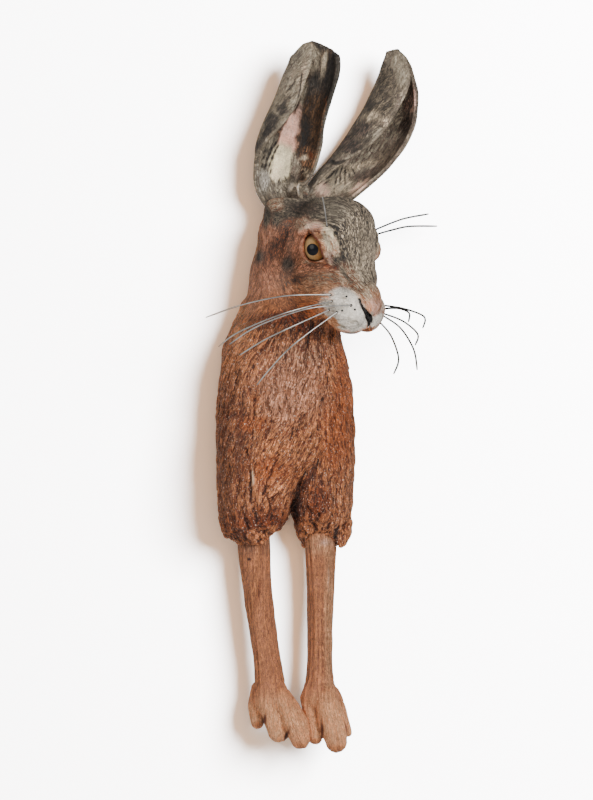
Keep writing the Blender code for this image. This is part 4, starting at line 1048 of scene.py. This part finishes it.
def buildEar(name):
    leaf, placed = earLeaf(name)
    ear = newPiece(name, leaf.copy())
    slab = ear.modifiers.new("slab", "SOLIDIFY")
    slab.thickness = earDetail["thickness"] * mm
    slab.offset = 0
    settle(ear)
    remesh(ear, earDetail["voxel"], 3)
    points, normals = readSkin(ear)
    wrap, _ = leafPlaces(leaf, placed, points)
    wrap, lean = wrap * (1, 0, 1), np.zeros(len(points))
    lift = grooves(wrap, lean, *earDetail["strokes"]) + grooves(wrap, lean, *earDetail["fine"])
    lift += swells(points, *earDetail["wobble"])
    moveSkin(ear, points + normals * lift[:, None])
    thin(ear, earDetail["triangles"])
    points, normals = readSkin(ear)
    wrap, rim = leafPlaces(leaf, placed, points)
    leaf.free()
    outer = easeStep(-0.2, 0.2, wrap[:, 1])
    wrap[:, 1] *= 3
    lean = swells(points, 9, 5, 36)
    right, down = photoPlace(points)
    seen = ragged(right, down, points, wrap, lean * 0, earDetail["ragged"])
    outside, inside = paintEar(name, seen, right, down)
    ground, hairs, _ = mixLayers(inside, outside, outer)
    layer = ground, hairs, np.where(outer > 0.5, outside[2], inside[2])
    # what faces away from the photograph is plainer: dappled fur outside, pink and cream within
    away = easeStep(0.25, -0.1, -normals[:, 1])
    dapple = easeStep(0.42, 0.62, softNoise(wrap * (1 / 9, 0, 1 / 20), 35))[:, None]
    dappled = blend(linear("beige"), linear("slate"), dapple)
    plain = blend(blend(linear("mauve"), linear("peach"), 1 - dapple), dappled, outer[:, None])
    layer = tint(layer, plain, linear("stone"), away)
    # a worn pale line runs along the free rims, and the shade beneath them is painted dark on the inner faces
    worn = easeStep(1.1, 0.4, rim) * 0.3 * softNoise(points / 7, 37)
    ground, hairs, amount = tint(layer, linear("stone"), layer[1], worn)
    shade = (1 - 0.35 * easeStep(7, 1, rim) * easeStep(0.6, 1.6, rim) * (1 - outer))[:, None]
    layer = ground * shade, hairs * shade, amount
    engrave = 0.6 - 0.5 * easeStep(0.35, 0.6, layer[0].mean(1))
    finishSkin(ear, wrap, lean, layer, engrave=engrave, small=0.3, streaks=0.9, pits=0.35)
    return ear


# The forelegs and paws

legs = {
    # across, out, up, and the radius
    "nearLeg": [
        (-22.4, 23, -84, 11.8), (-21.9, 23, -104, 11.5), (-19.8, 23, -133, 10.4), (-16.4, 23.5, -160, 10.0),
        (-12.8, 24, -184, 9.9), (-10.9, 25, -201, 10.6)],
    "farLeg": [
        (25.0, 25.5, -84, 10.8), (25.2, 25.0, -98, 11.0), (25.2, 22.6, -114, 10.6), (25.2, 22.5, -138, 9.8),
        (24.6, 23, -170, 9.2), (24.5, 24, -190, 9.6), (24.4, 25, -203, 11.4)],
}
paws = {
    "nearLeg": ((-9.4, 27, -210.5), (12.6, 11.5, 15.0)),
    "farLeg": ((24.6, 27, -211.5), (14.4, 11.5, 15.0)),
}
toes = {
    "nearLeg": [
        ((-19.6, 22, -203.5, 4.6), (-20.6, 23, -215.5, 5.8), (-19.6, 26, -227.2, 5.0)),
        ((-13.0, 30, -209.0, 6.4), (-7.8, 34, -222.5, 8.0), (-4.6, 36, -232.8, 7.9)),
        ((-2.4, 33, -209.0, 7.2), (7.2, 39, -226.5, 8.9), (10.8, 43, -238.0, 6.8))],
    "farLeg": [
        ((16.2, 28, -210.5, 6.0), (19.2, 33, -224.5, 5.9), (21.0, 36, -237.0, 5.4)),
        ((28.8, 32, -209.5, 8.4), (33.4, 39, -228.0, 9.7), (35.8, 43, -239.8, 7.5)),
        ((38.6, 27, -216.0, 3.8), (41.8, 30, -225.6, 3.5), (44.0, 32, -234.0, 3.2)),
        ((34.6, 23, -206.5, 4.2), (36.8, 24, -212.5, 4.6), (37.4, 26, -217.0, 3.8))],
}
legDetail = {
    "voxel": 0.8, "triangles": 90000, "base": ("fawn", "fox", 0.5), "ragged": 1.6,
    "strokes": (1.9, 30, 0.46, 41), "fine": (1.15, 16, 0.2, 42), "wobble": (9, 0.7, 43),
}
legGuides = {
    "nearLeg": [(250, 560, -3), (252, 600, 4), (262, 640, 12), (268, 670, 12), (255, 700, -4), (252, 715, -4),
                (270, 705, 8), (277, 730, 24), (288, 700, 30), (296, 722, 40), (300, 738, 36), (262, 722, 6)],
    "farLeg": [(320, 560, 0), (320, 620, 0), (320, 680, 0), (306, 700, -16), (314, 725, 6), (330, 705, 8),
               (334, 730, 10), (342, 710, 20), (348, 728, 24)],
}
legStrokes = [
    (249, 559, 1.8, 1.6, 0, "umber", "umber", 0.2, 0.5), (257, 594, 3, 14, 14, "rust", "brown", 0.4, 0.8),
    (254, 545, 16, 9, 0, "rust", "blush", 0.5, 0.8), (249, 620, 4, 90, 8, "brown", "fox", 0.5, 0.9),
    (322, 545, 16, 9, 0, "fawn", "apricot", 0.5, 0.8), (327, 543, 6, 3, 0, "blush", "pink", 0.5, 0.8),
    # the thin white line at (328.5, 584) and the pale tan stripe at (330, 620) down the right of the far leg
    # are painted highlights
    (328.5, 584, 0.9, 13, 0, "pink", "white"), (322.5, 640, 0.9, 60, 0, "maroon", "fox", 0.4, 0.7),
    (330, 620, 5, 80, 0, "tan", "apricot", 0.5, 0.8),
    # paws
    (274, 722, 30, 26, 0, "fox", "apricot", 0.55, 0.5), (328, 724, 28, 28, 0, "fox", "apricot", 0.55, 0.5),
    # the thin dark slivers between the toes are painted shade in the gaps
    (258, 726, 6, 4, 0, "brown", "fox", 0.5, 0.8), (264.2, 720, 1.6, 7, 8, "umber", "rust", 0.4, 0.7),
    (287, 735, 1.6, 8, 20, "umber", "rust", 0.4, 0.7), (302, 746, 9, 3, 14, "brown", "fox", 0.5, 0.8),
    (315, 742, 6, 3, 0, "brown", "fox", 0.5, 0.8), (336, 749, 10, 4, 0, "brown", "fox", 0.5, 0.8),
    (322, 730, 1.6, 10, 0, "umber", "rust", 0.4, 0.7), (346, 728, 0.8, 7, -14, "rust", "brown", 0.4, 0.7),
]


def legSkin(leg, name, shankEnd):
    # the leg's points and normals, where the camera sees them, the hairs' coordinates and their slant
    points, normals = readSkin(leg)
    right, down = photoPlace(points)
    onShank = easeStep(-206, shankEnd, points[:, 2])
    rows = np.array(legs[name])[::-1]
    middle = np.interp(points[:, 2], rows[:, 2], rows[:, 0])
    wrap = points.copy()  # round the shank and down it; the paws are brushed as they are seen from the front
    wrap[:, 0] += np.tanh((points[:, 0] - middle) / 4) * (points[:, 1] + 34) * 0.8 * onShank
    wrap[:, 1] = 0
    wrap[:, 2] *= 0.55  # longer strokes than on the body
    return points, normals, (right, down), wrap, guidedLean(right, down, legGuides[name], 14), onShank


def buildLeg(name):
    bm = bmesh.new()
    tube(bm, [at(*row[:3]) for row in legs[name]], [row[3] for row in legs[name]], count=26, sides=28)
    centre, radii = paws[name]
    ball(bm, at(*centre), radii)
    leg = remesh(newPiece("soft", bm), 1.5, 8)
    bm = bmesh.new()
    for toe in toes[name]:
        tube(bm, [at(*knot[:3]) for knot in toe], [knot[3] for knot in toe], count=12, sides=22)
    leg = remesh(join(name, [leg, newPiece("toes", bm)]), legDetail["voxel"], 5)
    points, normals, _, wrap, lean, onShank = legSkin(leg, name, -196)
    lift = grooves(wrap, lean, *legDetail["strokes"]) * (0.6 + 0.4 * onShank)
    lift += grooves(wrap, lean, *legDetail["fine"]) + swells(points, *legDetail["wobble"])
    moveSkin(leg, points + normals * lift[:, None])
    thin(leg, legDetail["triangles"])
    points, normals, seen, wrap, lean, onShank = legSkin(leg, name, -190)
    layer = paint(*ragged(*seen, points, wrap, lean, legDetail["ragged"]), legDetail["base"], legStrokes)
    engrave = 0.52 + 0.12 * onShank
    finishSkin(leg, wrap, lean, layer, engrave=engrave, small=0.72, streaks=0.2, pits=0.85)
    return leg


# The clay's material

clayFinish = {
    # the width and length of the engraving's cells, in millimetres
    "fineLines": (0.66, 4.4), "smallLines": (0.44, 2.5), "coarseLines": (1.3, 8.5),
    "lineShare": (0.075, 0.07),  # how much of each cell its dark line takes
    # lineDark and stainAndShade: how far the cuts and hollows are darkened, for stain and for painted shade
    "lineDark": (0.55, 0.85), "stainAndShade": 0.8,
    "locks": 210.0, "clouds": 90.0, "grains": 1050.0,  # how many cells of each noise make a metre
    "brightness": 0.16, "cloudy": 0.45, "speckle": 1.3,
    # glint: the colour of the painted highlight on the glossy specks
    "glint": (0.95, 0.8, 0.68), "glintGrain": (12.0, 7.4), "glintFur": (4.0, 3.1), "glintShare": 0.8,
    "roughness": 0.5, "grainRoughness": 0.2, "glossyRoughness": 0.12,
    "engraving": 0.0011,  # depth of the bump, in metres
    "show": (4.0, 1.6, 0.6),  # how much fine lines, coarse lines and hollows change which pigment shows
    "heights": (0.9, 1.2, 0.55, 0.8, 0.16),  # of fine and coarse lines, of their cuts, and of the grain
}


class Signal:
    # an output of a material's node; sums written with it add the nodes that reckon them
    def __init__(self, tree, socket):
        self.tree, self.socket = tree, socket

    def maths(self, operation, other=0.0, clamp=False):
        inputs = {0: self, 1: other}
        return addNode(self.tree, "ShaderNodeMath", inputs, operation=operation, use_clamp=clamp)

    def clamped(self):
        return self.maths("ADD", clamp=True)

    def __add__(self, other):
        return self.maths("ADD", other)

    def __sub__(self, other):
        return self.maths("SUBTRACT", other)

    def __rsub__(self, other):
        return self * -1.0 + other

    def __mul__(self, other):
        return self.maths("MULTIPLY", other)


def setInputs(tree, node, inputs):
    for key, value in inputs.items():
        if isinstance(value, Signal):
            tree.links.new(value.socket, node.inputs[key])
        else:
            node.inputs[key].default_value = value


def addNode(tree, kind, inputs=None, out=0, **settings):
    made = tree.nodes.new(kind)
    for key, value in settings.items():
        setattr(made, key, value)
    setInputs(tree, made, inputs or {})
    return Signal(tree, made.outputs[out])


def objectPlace(tree):
    return addNode(tree, "ShaderNodeTexCoord", out="Object")


def attribute(tree, name, out="Fac"):
    return addNode(tree, "ShaderNodeAttribute", out=out, attribute_name=name)


def noise(tree, place, scale, detail):
    return addNode(tree, "ShaderNodeTexNoise", {"Vector": place, "Scale": scale, "Detail": detail})


def brighten(tree, colour, tone):
    return addNode(tree, "ShaderNodeVectorMath", {0: colour, 3: tone}, operation="SCALE")


def bumpNormal(tree, height, depth, strength):
    inputs = {"Height": height, "Distance": depth, "Strength": strength}
    return addNode(tree, "ShaderNodeBump", inputs, out="Normal")


def mixColour(tree, share, a, b):
    a, b = (colour if isinstance(colour, Signal) else (*colour, 1) for colour in (a, b))
    inputs = {"Factor": share, 6: a, 7: b}
    return addNode(tree, "ShaderNodeMix", inputs, out=2, data_type="RGBA")


def mixNumber(tree, share, a, b):
    return addNode(tree, "ShaderNodeMix", {"Factor": share, 2: a, 3: b}, data_type="FLOAT")


def newMaterial(name):
    made = bpy.data.materials.new(name)
    made.use_nodes = True
    return made, made.node_tree, made.node_tree.nodes["Principled BSDF"]


def hairLines(tree, wrap, slant, cell, seed):
    # noise drawn out along the fur
    width, length = cell
    turned = addNode(tree, "ShaderNodeVectorRotate", {"Vector": wrap, "Angle": slant}, rotation_type="Y_AXIS")
    inputs = {0: turned, 1: (1 / width, 1 / length, 1 / length), 2: (seed * 31.7, 0, 0)}
    return noise(tree, addNode(tree, "ShaderNodeVectorMath", inputs, operation="MULTIPLY_ADD"), 1.0, 1.0)


def cutLine(lines, share):
    # 1 along the thin lines where the noise crosses its middle, 0 away from them
    return (1.0 - (lines - 0.5).maths("ABSOLUTE") * (1 / share)).clamped()


def clayMaterial():
    made, tree, shader = newMaterial("paintedClay")
    finish = clayFinish
    wrap = attribute(tree, "wrap", "Vector")
    ground, hairs = (attribute(tree, name, "Color") for name in ("ground", "hairs"))
    shine, amount = (attribute(tree, name, "Alpha") for name in ("ground", "hairs"))
    lean, hollow, engrave, small = (attribute(tree, name) for name in ("lean", "hollow", "engrave", "small"))
    place = objectPlace(tree)
    grain = noise(tree, place, finish["grains"], 2.0)
    # each small lock keeps one slant, so its lines end where the next lock begins
    lock = (noise(tree, place, finish["locks"], 1.0) - 0.5) * 5.0
    slant = (lean + lock).maths("ROUND") * leanStep
    fine = hairLines(tree, wrap, slant, finish["fineLines"], 1)
    fine = mixNumber(tree, small, fine, hairLines(tree, wrap, slant, finish["smallLines"], 3))
    coarse = mixNumber(tree, small * 0.75, hairLines(tree, wrap, slant, finish["coarseLines"], 2), 0.5)
    fineCut = cutLine(fine, finish["lineShare"][0])
    coarseCut = cutLine(coarse, finish["lineShare"][1]) * engrave
    # hairs of one pigment over a ground of another; ridges catch more of it than hollows, so ridges are
    # painted lighter, partly as a painted highlight
    fineShow, coarseShow, hollowShow = finish["show"]
    show = amount + (fine - 0.5) * fineShow + (coarse - 0.5) * coarseShow - hollow * hollowShow
    colour = mixColour(tree, show.clamped(), ground, hairs)
    # the whole is a little cloudy, and the cuts and hollows are darkened, partly by stain settled in them and
    # partly as painted shade
    stainAndShade = fineCut * finish["lineDark"][0] * (engrave * 0.8 + 0.2) + coarseCut * finish["lineDark"][1]
    stainAndShade = (stainAndShade + hollow * 0.5).clamped()
    tone = noise(tree, place, finish["clouds"], 4.0) * finish["cloudy"] + grain * finish["speckle"]
    tone = (tone + finish["brightness"]) * (1.0 - stainAndShade * finish["stainAndShade"])
    colour = brighten(tree, colour, tone)
    # tiny glints on the roughest fur: glossier specks whose colour is lightened as a painted highlight
    (steep, start), (steepFur, startFur) = finish["glintGrain"], finish["glintFur"]
    glint = (grain * steep - start).clamped() * (engrave * steepFur - startFur).clamped() * (1.0 - stainAndShade)
    colour = mixColour(tree, glint * finish["glintShare"], colour, finish["glint"])
    rough = grain * finish["grainRoughness"] + finish["roughness"]
    rough = mixNumber(tree, shine, rough, finish["glossyRoughness"]) - glint * 0.35
    fineHeight, coarseHeight, fineDepth, coarseDepth, grainHeight = finish["heights"]
    height = fine * fineHeight + coarse * coarseHeight - fineCut * fineDepth - coarseCut * coarseDepth
    height = height * (engrave * 0.85 + 0.15) + grain * grainHeight
    normal = bumpNormal(tree, height, finish["engraving"], 1.0)
    setInputs(tree, shader, {"Base Color": colour, "Roughness": rough, "Normal": normal})
    return made


# The eyes

eyeFinish = {
    # rim: painted shade where the lids overhang the ball
    "amber": (0.22, 0.096, 0.026), "straw": (0.36, 0.232, 0.108), "rim": (0.16, 0.075, 0.03),
    "pupil": (0.002, 0.003, 0.006), "gaze": (-0.09, -0.22, 1.0),  # towards the nose, up, and straight out
    "lidShadeEdge": (3.0, 2.6), "pupilEdge": 26.0, "cloudy": (0.5, 0.75),
    "glaze": {"Roughness": 0.3, "Specular IOR Level": 0.12, "Coat Weight": 0.16, "Coat Roughness": 0.04},
}


def buildEye(name, side):
    centre, axes = eyeFrame(side)
    bm = bmesh.new()
    bmesh.ops.create_uvsphere(bm, u_segments=64, v_segments=40, radius=eye["radius"] * mm)
    local = np.array([vert.co[:] for vert in bm.verts]) / (eye["radius"] * mm)
    bmesh.ops.transform(bm, verts=bm.verts, matrix=Matrix.Translation(centre) @ axes.to_4x4())
    piece = newPiece(name, bm)
    giveAttribute(piece, "ballPlace", local)
    piece.data.shade_smooth()
    return piece


def glazeMaterial():
    made, tree, shader = newMaterial("amberGlaze")
    finish = eyeFinish
    place = attribute(tree, "ballPlace", "Vector")
    towardsNose = addNode(tree, "ShaderNodeSeparateXYZ", {0: place}, out="X")
    gaze = {0: place, 1: tuple(Vector(finish["gaze"]).normalized())}
    facing = addNode(tree, "ShaderNodeVectorMath", gaze, out="Value", operation="DOT_PRODUCT")
    wide = facing.maths("ARCCOSINE")
    deep = (towardsNose * 1.6 + noise(tree, place, 5.0, 3.0) * 1.2 - 0.1).clamped()
    colour = mixColour(tree, deep, finish["straw"], finish["amber"])
    (cloudy, least), (steep, start) = finish["cloudy"], finish["lidShadeEdge"]
    colour = brighten(tree, colour, noise(tree, place, 22.0, 2.0) * cloudy + least)
    # painted shade of the lids: the ball turns dark brown towards the edge they overhang
    colour = mixColour(tree, (wide * steep - start).clamped(), colour, finish["rim"])
    iris = ((wide - math.asin(eye["pupil"])) * finish["pupilEdge"]).clamped()
    colour = mixColour(tree, iris, finish["pupil"], colour)
    setInputs(tree, shader, {"Base Color": colour, **finish["glaze"]})
    return made


# The whiskers

whiskers = {
    # the hole's place, across and up on the near side, out and up on the far side; then across, out, up
    "nearWhiskers": {
        "whisker_near_1": ((31.4, 72.6), (0.4, 88, 71.4), (-30, 84, 65.2), (-54.5, 75, 57.0)),
        "whisker_near_2": ((32.4, 68.2), (0.4, 94, 59.6), (-31.5, 92, 46.5), (-45.5, 87, 36.6)),
        "whisker_near_3": ((45.6, 65.2), (15.6, 99, 62.3), (-18, 98, 50.6), (-38, 92, 38.0)),
        "whisker_near_4": ((30.6, 62.2), (0.6, 90, 48.3), (-16.4, 89, 39.8), (-31, 85, 30.8)),
        "whisker_near_5": ((35.8, 60.4), (7.0, 93, 38.8), (-9.0, 92, 22.6), (-19.2, 88, 10.2)),
        "brow_whisker_near": ((29.0, 119.8), (27.6, 84, 129.8), (25.8, 87, 139.4)),
    },
    "farWhiskers": {
        "whisker_far_1": ((54.0, 66.0), (83.0, 40, 64.2), (98.0, 28, 58.8), (97.4, 20, 51.0)),
        "whisker_far_2": ((56.0, 63.6), (79.0, 48, 64.0), (87.0, 40, 61.0), (86.6, 36, 54.8)),
        "whisker_far_3": ((54.5, 60.4), (82.4, 42, 55.4), (93.4, 31, 46.4), (91.8, 24, 38.8)),
        "whisker_far_4": ((57.0, 58.6), (80.8, 48, 50.2), (90.2, 41, 35.4), (92.8, 36, 21.2)),
        "whisker_far_5": ((56.5, 53.6), (74.0, 52, 44.6), (79.4, 47, 29.0), (76.0, 44, 18.2)),
        "brow_whisker_far_1": ((41.5, 119.6), (76.0, 30, 125.2), (86.0, 26, 128.6), (101.4, 22, 131.6)),
        "brow_whisker_far_2": ((40.5, 116.4), (76.4, 28, 120.2), (88.0, 23, 122.8), (107.6, 18, 123.2)),
    },
}
# the same steel in every wire: the near ones are given pale greys as a painted bright reflection, the far
# ones near-black greys as a painted dark reflection
wire = {
    "nearWhiskers": {"diameter": 1.0, "material": "steelWireLit", "greys": (0.14, 0.62)},
    "farWhiskers": {"diameter": 1.4, "material": "steelWireShaded", "greys": (0.02, 0.07)},
    "steps": 30, "sides": 8, "bury": 4.0, "tip": 0.36,  # the tip's radius as a share of the diameter
}
# the radii of the dark discs of painted shade in the holes, round a wire and in an empty hole
holeShadeRadii = {"glued": 1.0, "spare": 0.85}
spareHoles = [(346.5, 296.5), (351, 305.9), (342.2, 310.7), (354.9, 309.5)]  # in the photograph, with no wire


def buildWhiskers(name, surface):
    bm = bmesh.new()
    mouths = []
    for first, *rest in whiskers[name].values():
        # a line from in front, or from the right, finds the hole
        if name == "nearWhiskers":
            mouth, *_ = surface.ray_cast(at(first[0], 500, first[1]), Vector((0, 1, 0)))
        else:
            mouth, *_ = surface.ray_cast(at(500, *first), Vector((-1, 0, 0)))
        mouths.append(mouth)
        route = [Vector(point) for point in smoothRows([mouth] + [at(*point) for point in rest], 10)]
        route.insert(0, route[0] + (route[0] - route[1]).normalized() * wire["bury"] * mm)
        diameter = wire[name]["diameter"]
        radii = [diameter / 2] * (len(route) - 1) + [diameter * wire["tip"]]
        tube(bm, route, radii, count=wire["steps"], sides=wire["sides"], rounded=False)
    piece = newPiece(name, bm)
    piece.data.shade_smooth()
    return piece, mouths


def steelMaterial(name, greys):
    made, tree, shader = newMaterial(name)
    place = objectPlace(tree)
    worn = noise(tree, place, 160.0, 3.0)
    dark, light = greys
    colour = mixColour(tree, worn, (dark, dark, dark), (light, light * 0.97, light * 0.93))
    normal = bumpNormal(tree, noise(tree, place, 2200.0, 2.0), 0.00004, 0.6)
    finish = {"Base Color": colour, "Roughness": worn * 0.3 + 0.22, "Normal": normal, "Metallic": 1.0}
    setInputs(tree, shader, finish)
    return made


def buildHoleShades(surface, mouths):
    # dark discs of painted shade where the holes show, round each wire and in the empty holes beside them
    bm = bmesh.new()
    spots = [(mouth, holeShadeRadii["glued"]) for mouth in mouths]
    spots += [(seenFrom(surface, x, y), holeShadeRadii["spare"]) for x, y in spareHoles]
    for spot, radius in spots:
        _, normal, _, _ = surface.find_nearest(spot)
        turn = normal.to_track_quat("Z", "Y").to_matrix()
        ball(bm, spot, (radius, radius, radius * 0.45), turn, fineness=2)
    piece = newPiece("whiskerHoleShades", bm)
    piece.data.shade_smooth()
    return piece


def holeShadeMaterial():
    made, tree, shader = newMaterial("holeShade")
    cloud = noise(tree, objectPlace(tree), 900.0, 2.0)
    colour = mixColour(tree, cloud, (0.004, 0.004, 0.004), (0.02, 0.017, 0.015))
    setInputs(tree, shader, {"Base Color": colour, "Roughness": cloud * 0.3 + 0.3})
    return made


clay = clayMaterial()
body, routes = buildBody()
paintBody(body, routes)
print("body painted")
clayPieces = [body] + [buildEar(name) for name in ears]
print("ears built")
clayPieces += [buildLeg(name) for name in legs]
print("legs built")
for piece in clayPieces:
    piece.data.materials.append(clay)
    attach(piece, "root")
    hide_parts("hare")

glaze = glazeMaterial()
for name, side, node in (("nearEyeball", -1, "right_eye"), ("farEyeball", 1, "left_eye")):
    piece = buildEye(name, side)
    piece.data.materials.append(glaze)
    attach(piece, "root")
    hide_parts(node)

surface = surfaceOf(body)

mouths = []
for name in whiskers:
    piece, found = buildWhiskers(name, surface)
    mouths += found
    piece.data.materials.append(steelMaterial(wire[name]["material"], wire[name]["greys"]))
    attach(piece, "root")
    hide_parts(*whiskers[name])
holeShades = buildHoleShades(surface, mouths)
holeShades.data.materials.append(holeShadeMaterial())
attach(holeShades, "root")
print("eyes and whiskers built")

# The stage: a pale wall that shows only its front, a pale floor, and soft light from the right

stage = {
    "wallSize": 5.0, "wallColour": (0.86, 0.86, 0.86), "wallGap": 0.0006, "floorDrop": 1.2,
    "skyColour": (1.0, 0.96, 0.92), "skyPower": 0.4,
}
lights = {
    # place, size, power and colour; the wall has lights of its own, because it is much brighter than the hare
    "allElse": {
        "key": ((1.45, -1.75, 0.6), 0.7, 53.0, (1.0, 0.98, 0.95)),
        "fill": ((-1.4, -2.1, 0.3), 1.6, 29.0, (1.0, 0.94, 0.88)),
    },
    "backdrop": {
        "wallKey": ((1.4, -1.9, 0.6), 1.35, 850.0, (0.98, 1.0, 1.03)),
        "wallFill": ((0.1, -2.6, 0.2), 2.6, 80.0, (1.0, 0.49, 0.18)),
    },
}


def plane(name, size, matrix, material):
    bm = bmesh.new()
    bmesh.ops.create_grid(bm, x_segments=1, y_segments=1, size=size / 2, matrix=matrix)
    mesh = bpy.data.meshes.new(name)
    bm.to_mesh(mesh)
    bm.free()
    mesh.materials.append(material)
    made = bpy.data.objects.new(name, mesh)
    bpy.context.scene.collection.objects.link(made)
    return made


def wallMaterial(name, oneSided):
    made, tree, shader = newMaterial(name)
    tone = noise(tree, objectPlace(tree), 3.0, 2.0) * 0.03 + 0.985
    setInputs(tree, shader, {"Base Color": brighten(tree, stage["wallColour"], tone), "Roughness": 0.9})
    if oneSided:  # the hare can be seen from behind the wall
        shown = {
            0: addNode(tree, "ShaderNodeNewGeometry", out="Backfacing"),
            1: Signal(tree, shader.outputs[0]),
            2: addNode(tree, "ShaderNodeBsdfTransparent"),
        }
        setInputs(tree, tree.nodes["Material Output"], {0: addNode(tree, "ShaderNodeMixShader", shown)})
    return made


upright = Matrix.Translation((0, stage["wallGap"], 0)) @ Matrix.Rotation(math.pi / 2, 4, "X")
wall = plane("wall", stage["wallSize"], upright, wallMaterial("paleWall", True))
level = Matrix.Translation((0, -1.0, -stage["floorDrop"]))
plane("floor", stage["wallSize"] * 1.6, level, wallMaterial("paleFloor", False))


def softLight(name, place, size, power, colour, shinesOn):
    light = bpy.data.lights.new(name, "AREA")
    light.shape = "DISK"
    light.size, light.energy, light.color = size, power, colour
    made = bpy.data.objects.new(name, light)
    made.location = place
    made.rotation_euler = (-Vector(place)).to_track_quat("-Z", "Y").to_euler()
    bpy.context.scene.collection.objects.link(made)
    made.light_linking.receiver_collection = shinesOn


wall.visible_diffuse = wall.visible_glossy = False
for name, state in (("backdrop", "INCLUDE"), ("allElse", "EXCLUDE")):
    shinesOn = bpy.data.collections.new(name)
    shinesOn.objects.link(wall)
    shinesOn.collection_objects[0].light_linking.link_state = state
    for lightName, (place, size, power, colour) in lights[name].items():
        softLight(lightName, place, size, power, colour, shinesOn)
world = bpy.data.worlds.new("studio")
world.use_nodes = True
world.node_tree.nodes["Background"].inputs["Color"].default_value = (*stage["skyColour"], 1)
world.node_tree.nodes["Background"].inputs["Strength"].default_value = stage["skyPower"]
bpy.context.scene.world = world

cameraData = bpy.data.cameras.new("camera")
cameraData.sensor_fit = "VERTICAL"
cameraData.sensor_height = view["sensor"]
cameraData.lens = view["lens"]
camera = bpy.data.objects.new("camera", cameraData)
camera.location = (view["across"], -view["distance"], 0)
camera.rotation_euler = (math.pi / 2, 0, 0)
bpy.context.scene.collection.objects.link(camera)
bpy.context.scene.camera = camera


print("stage set")
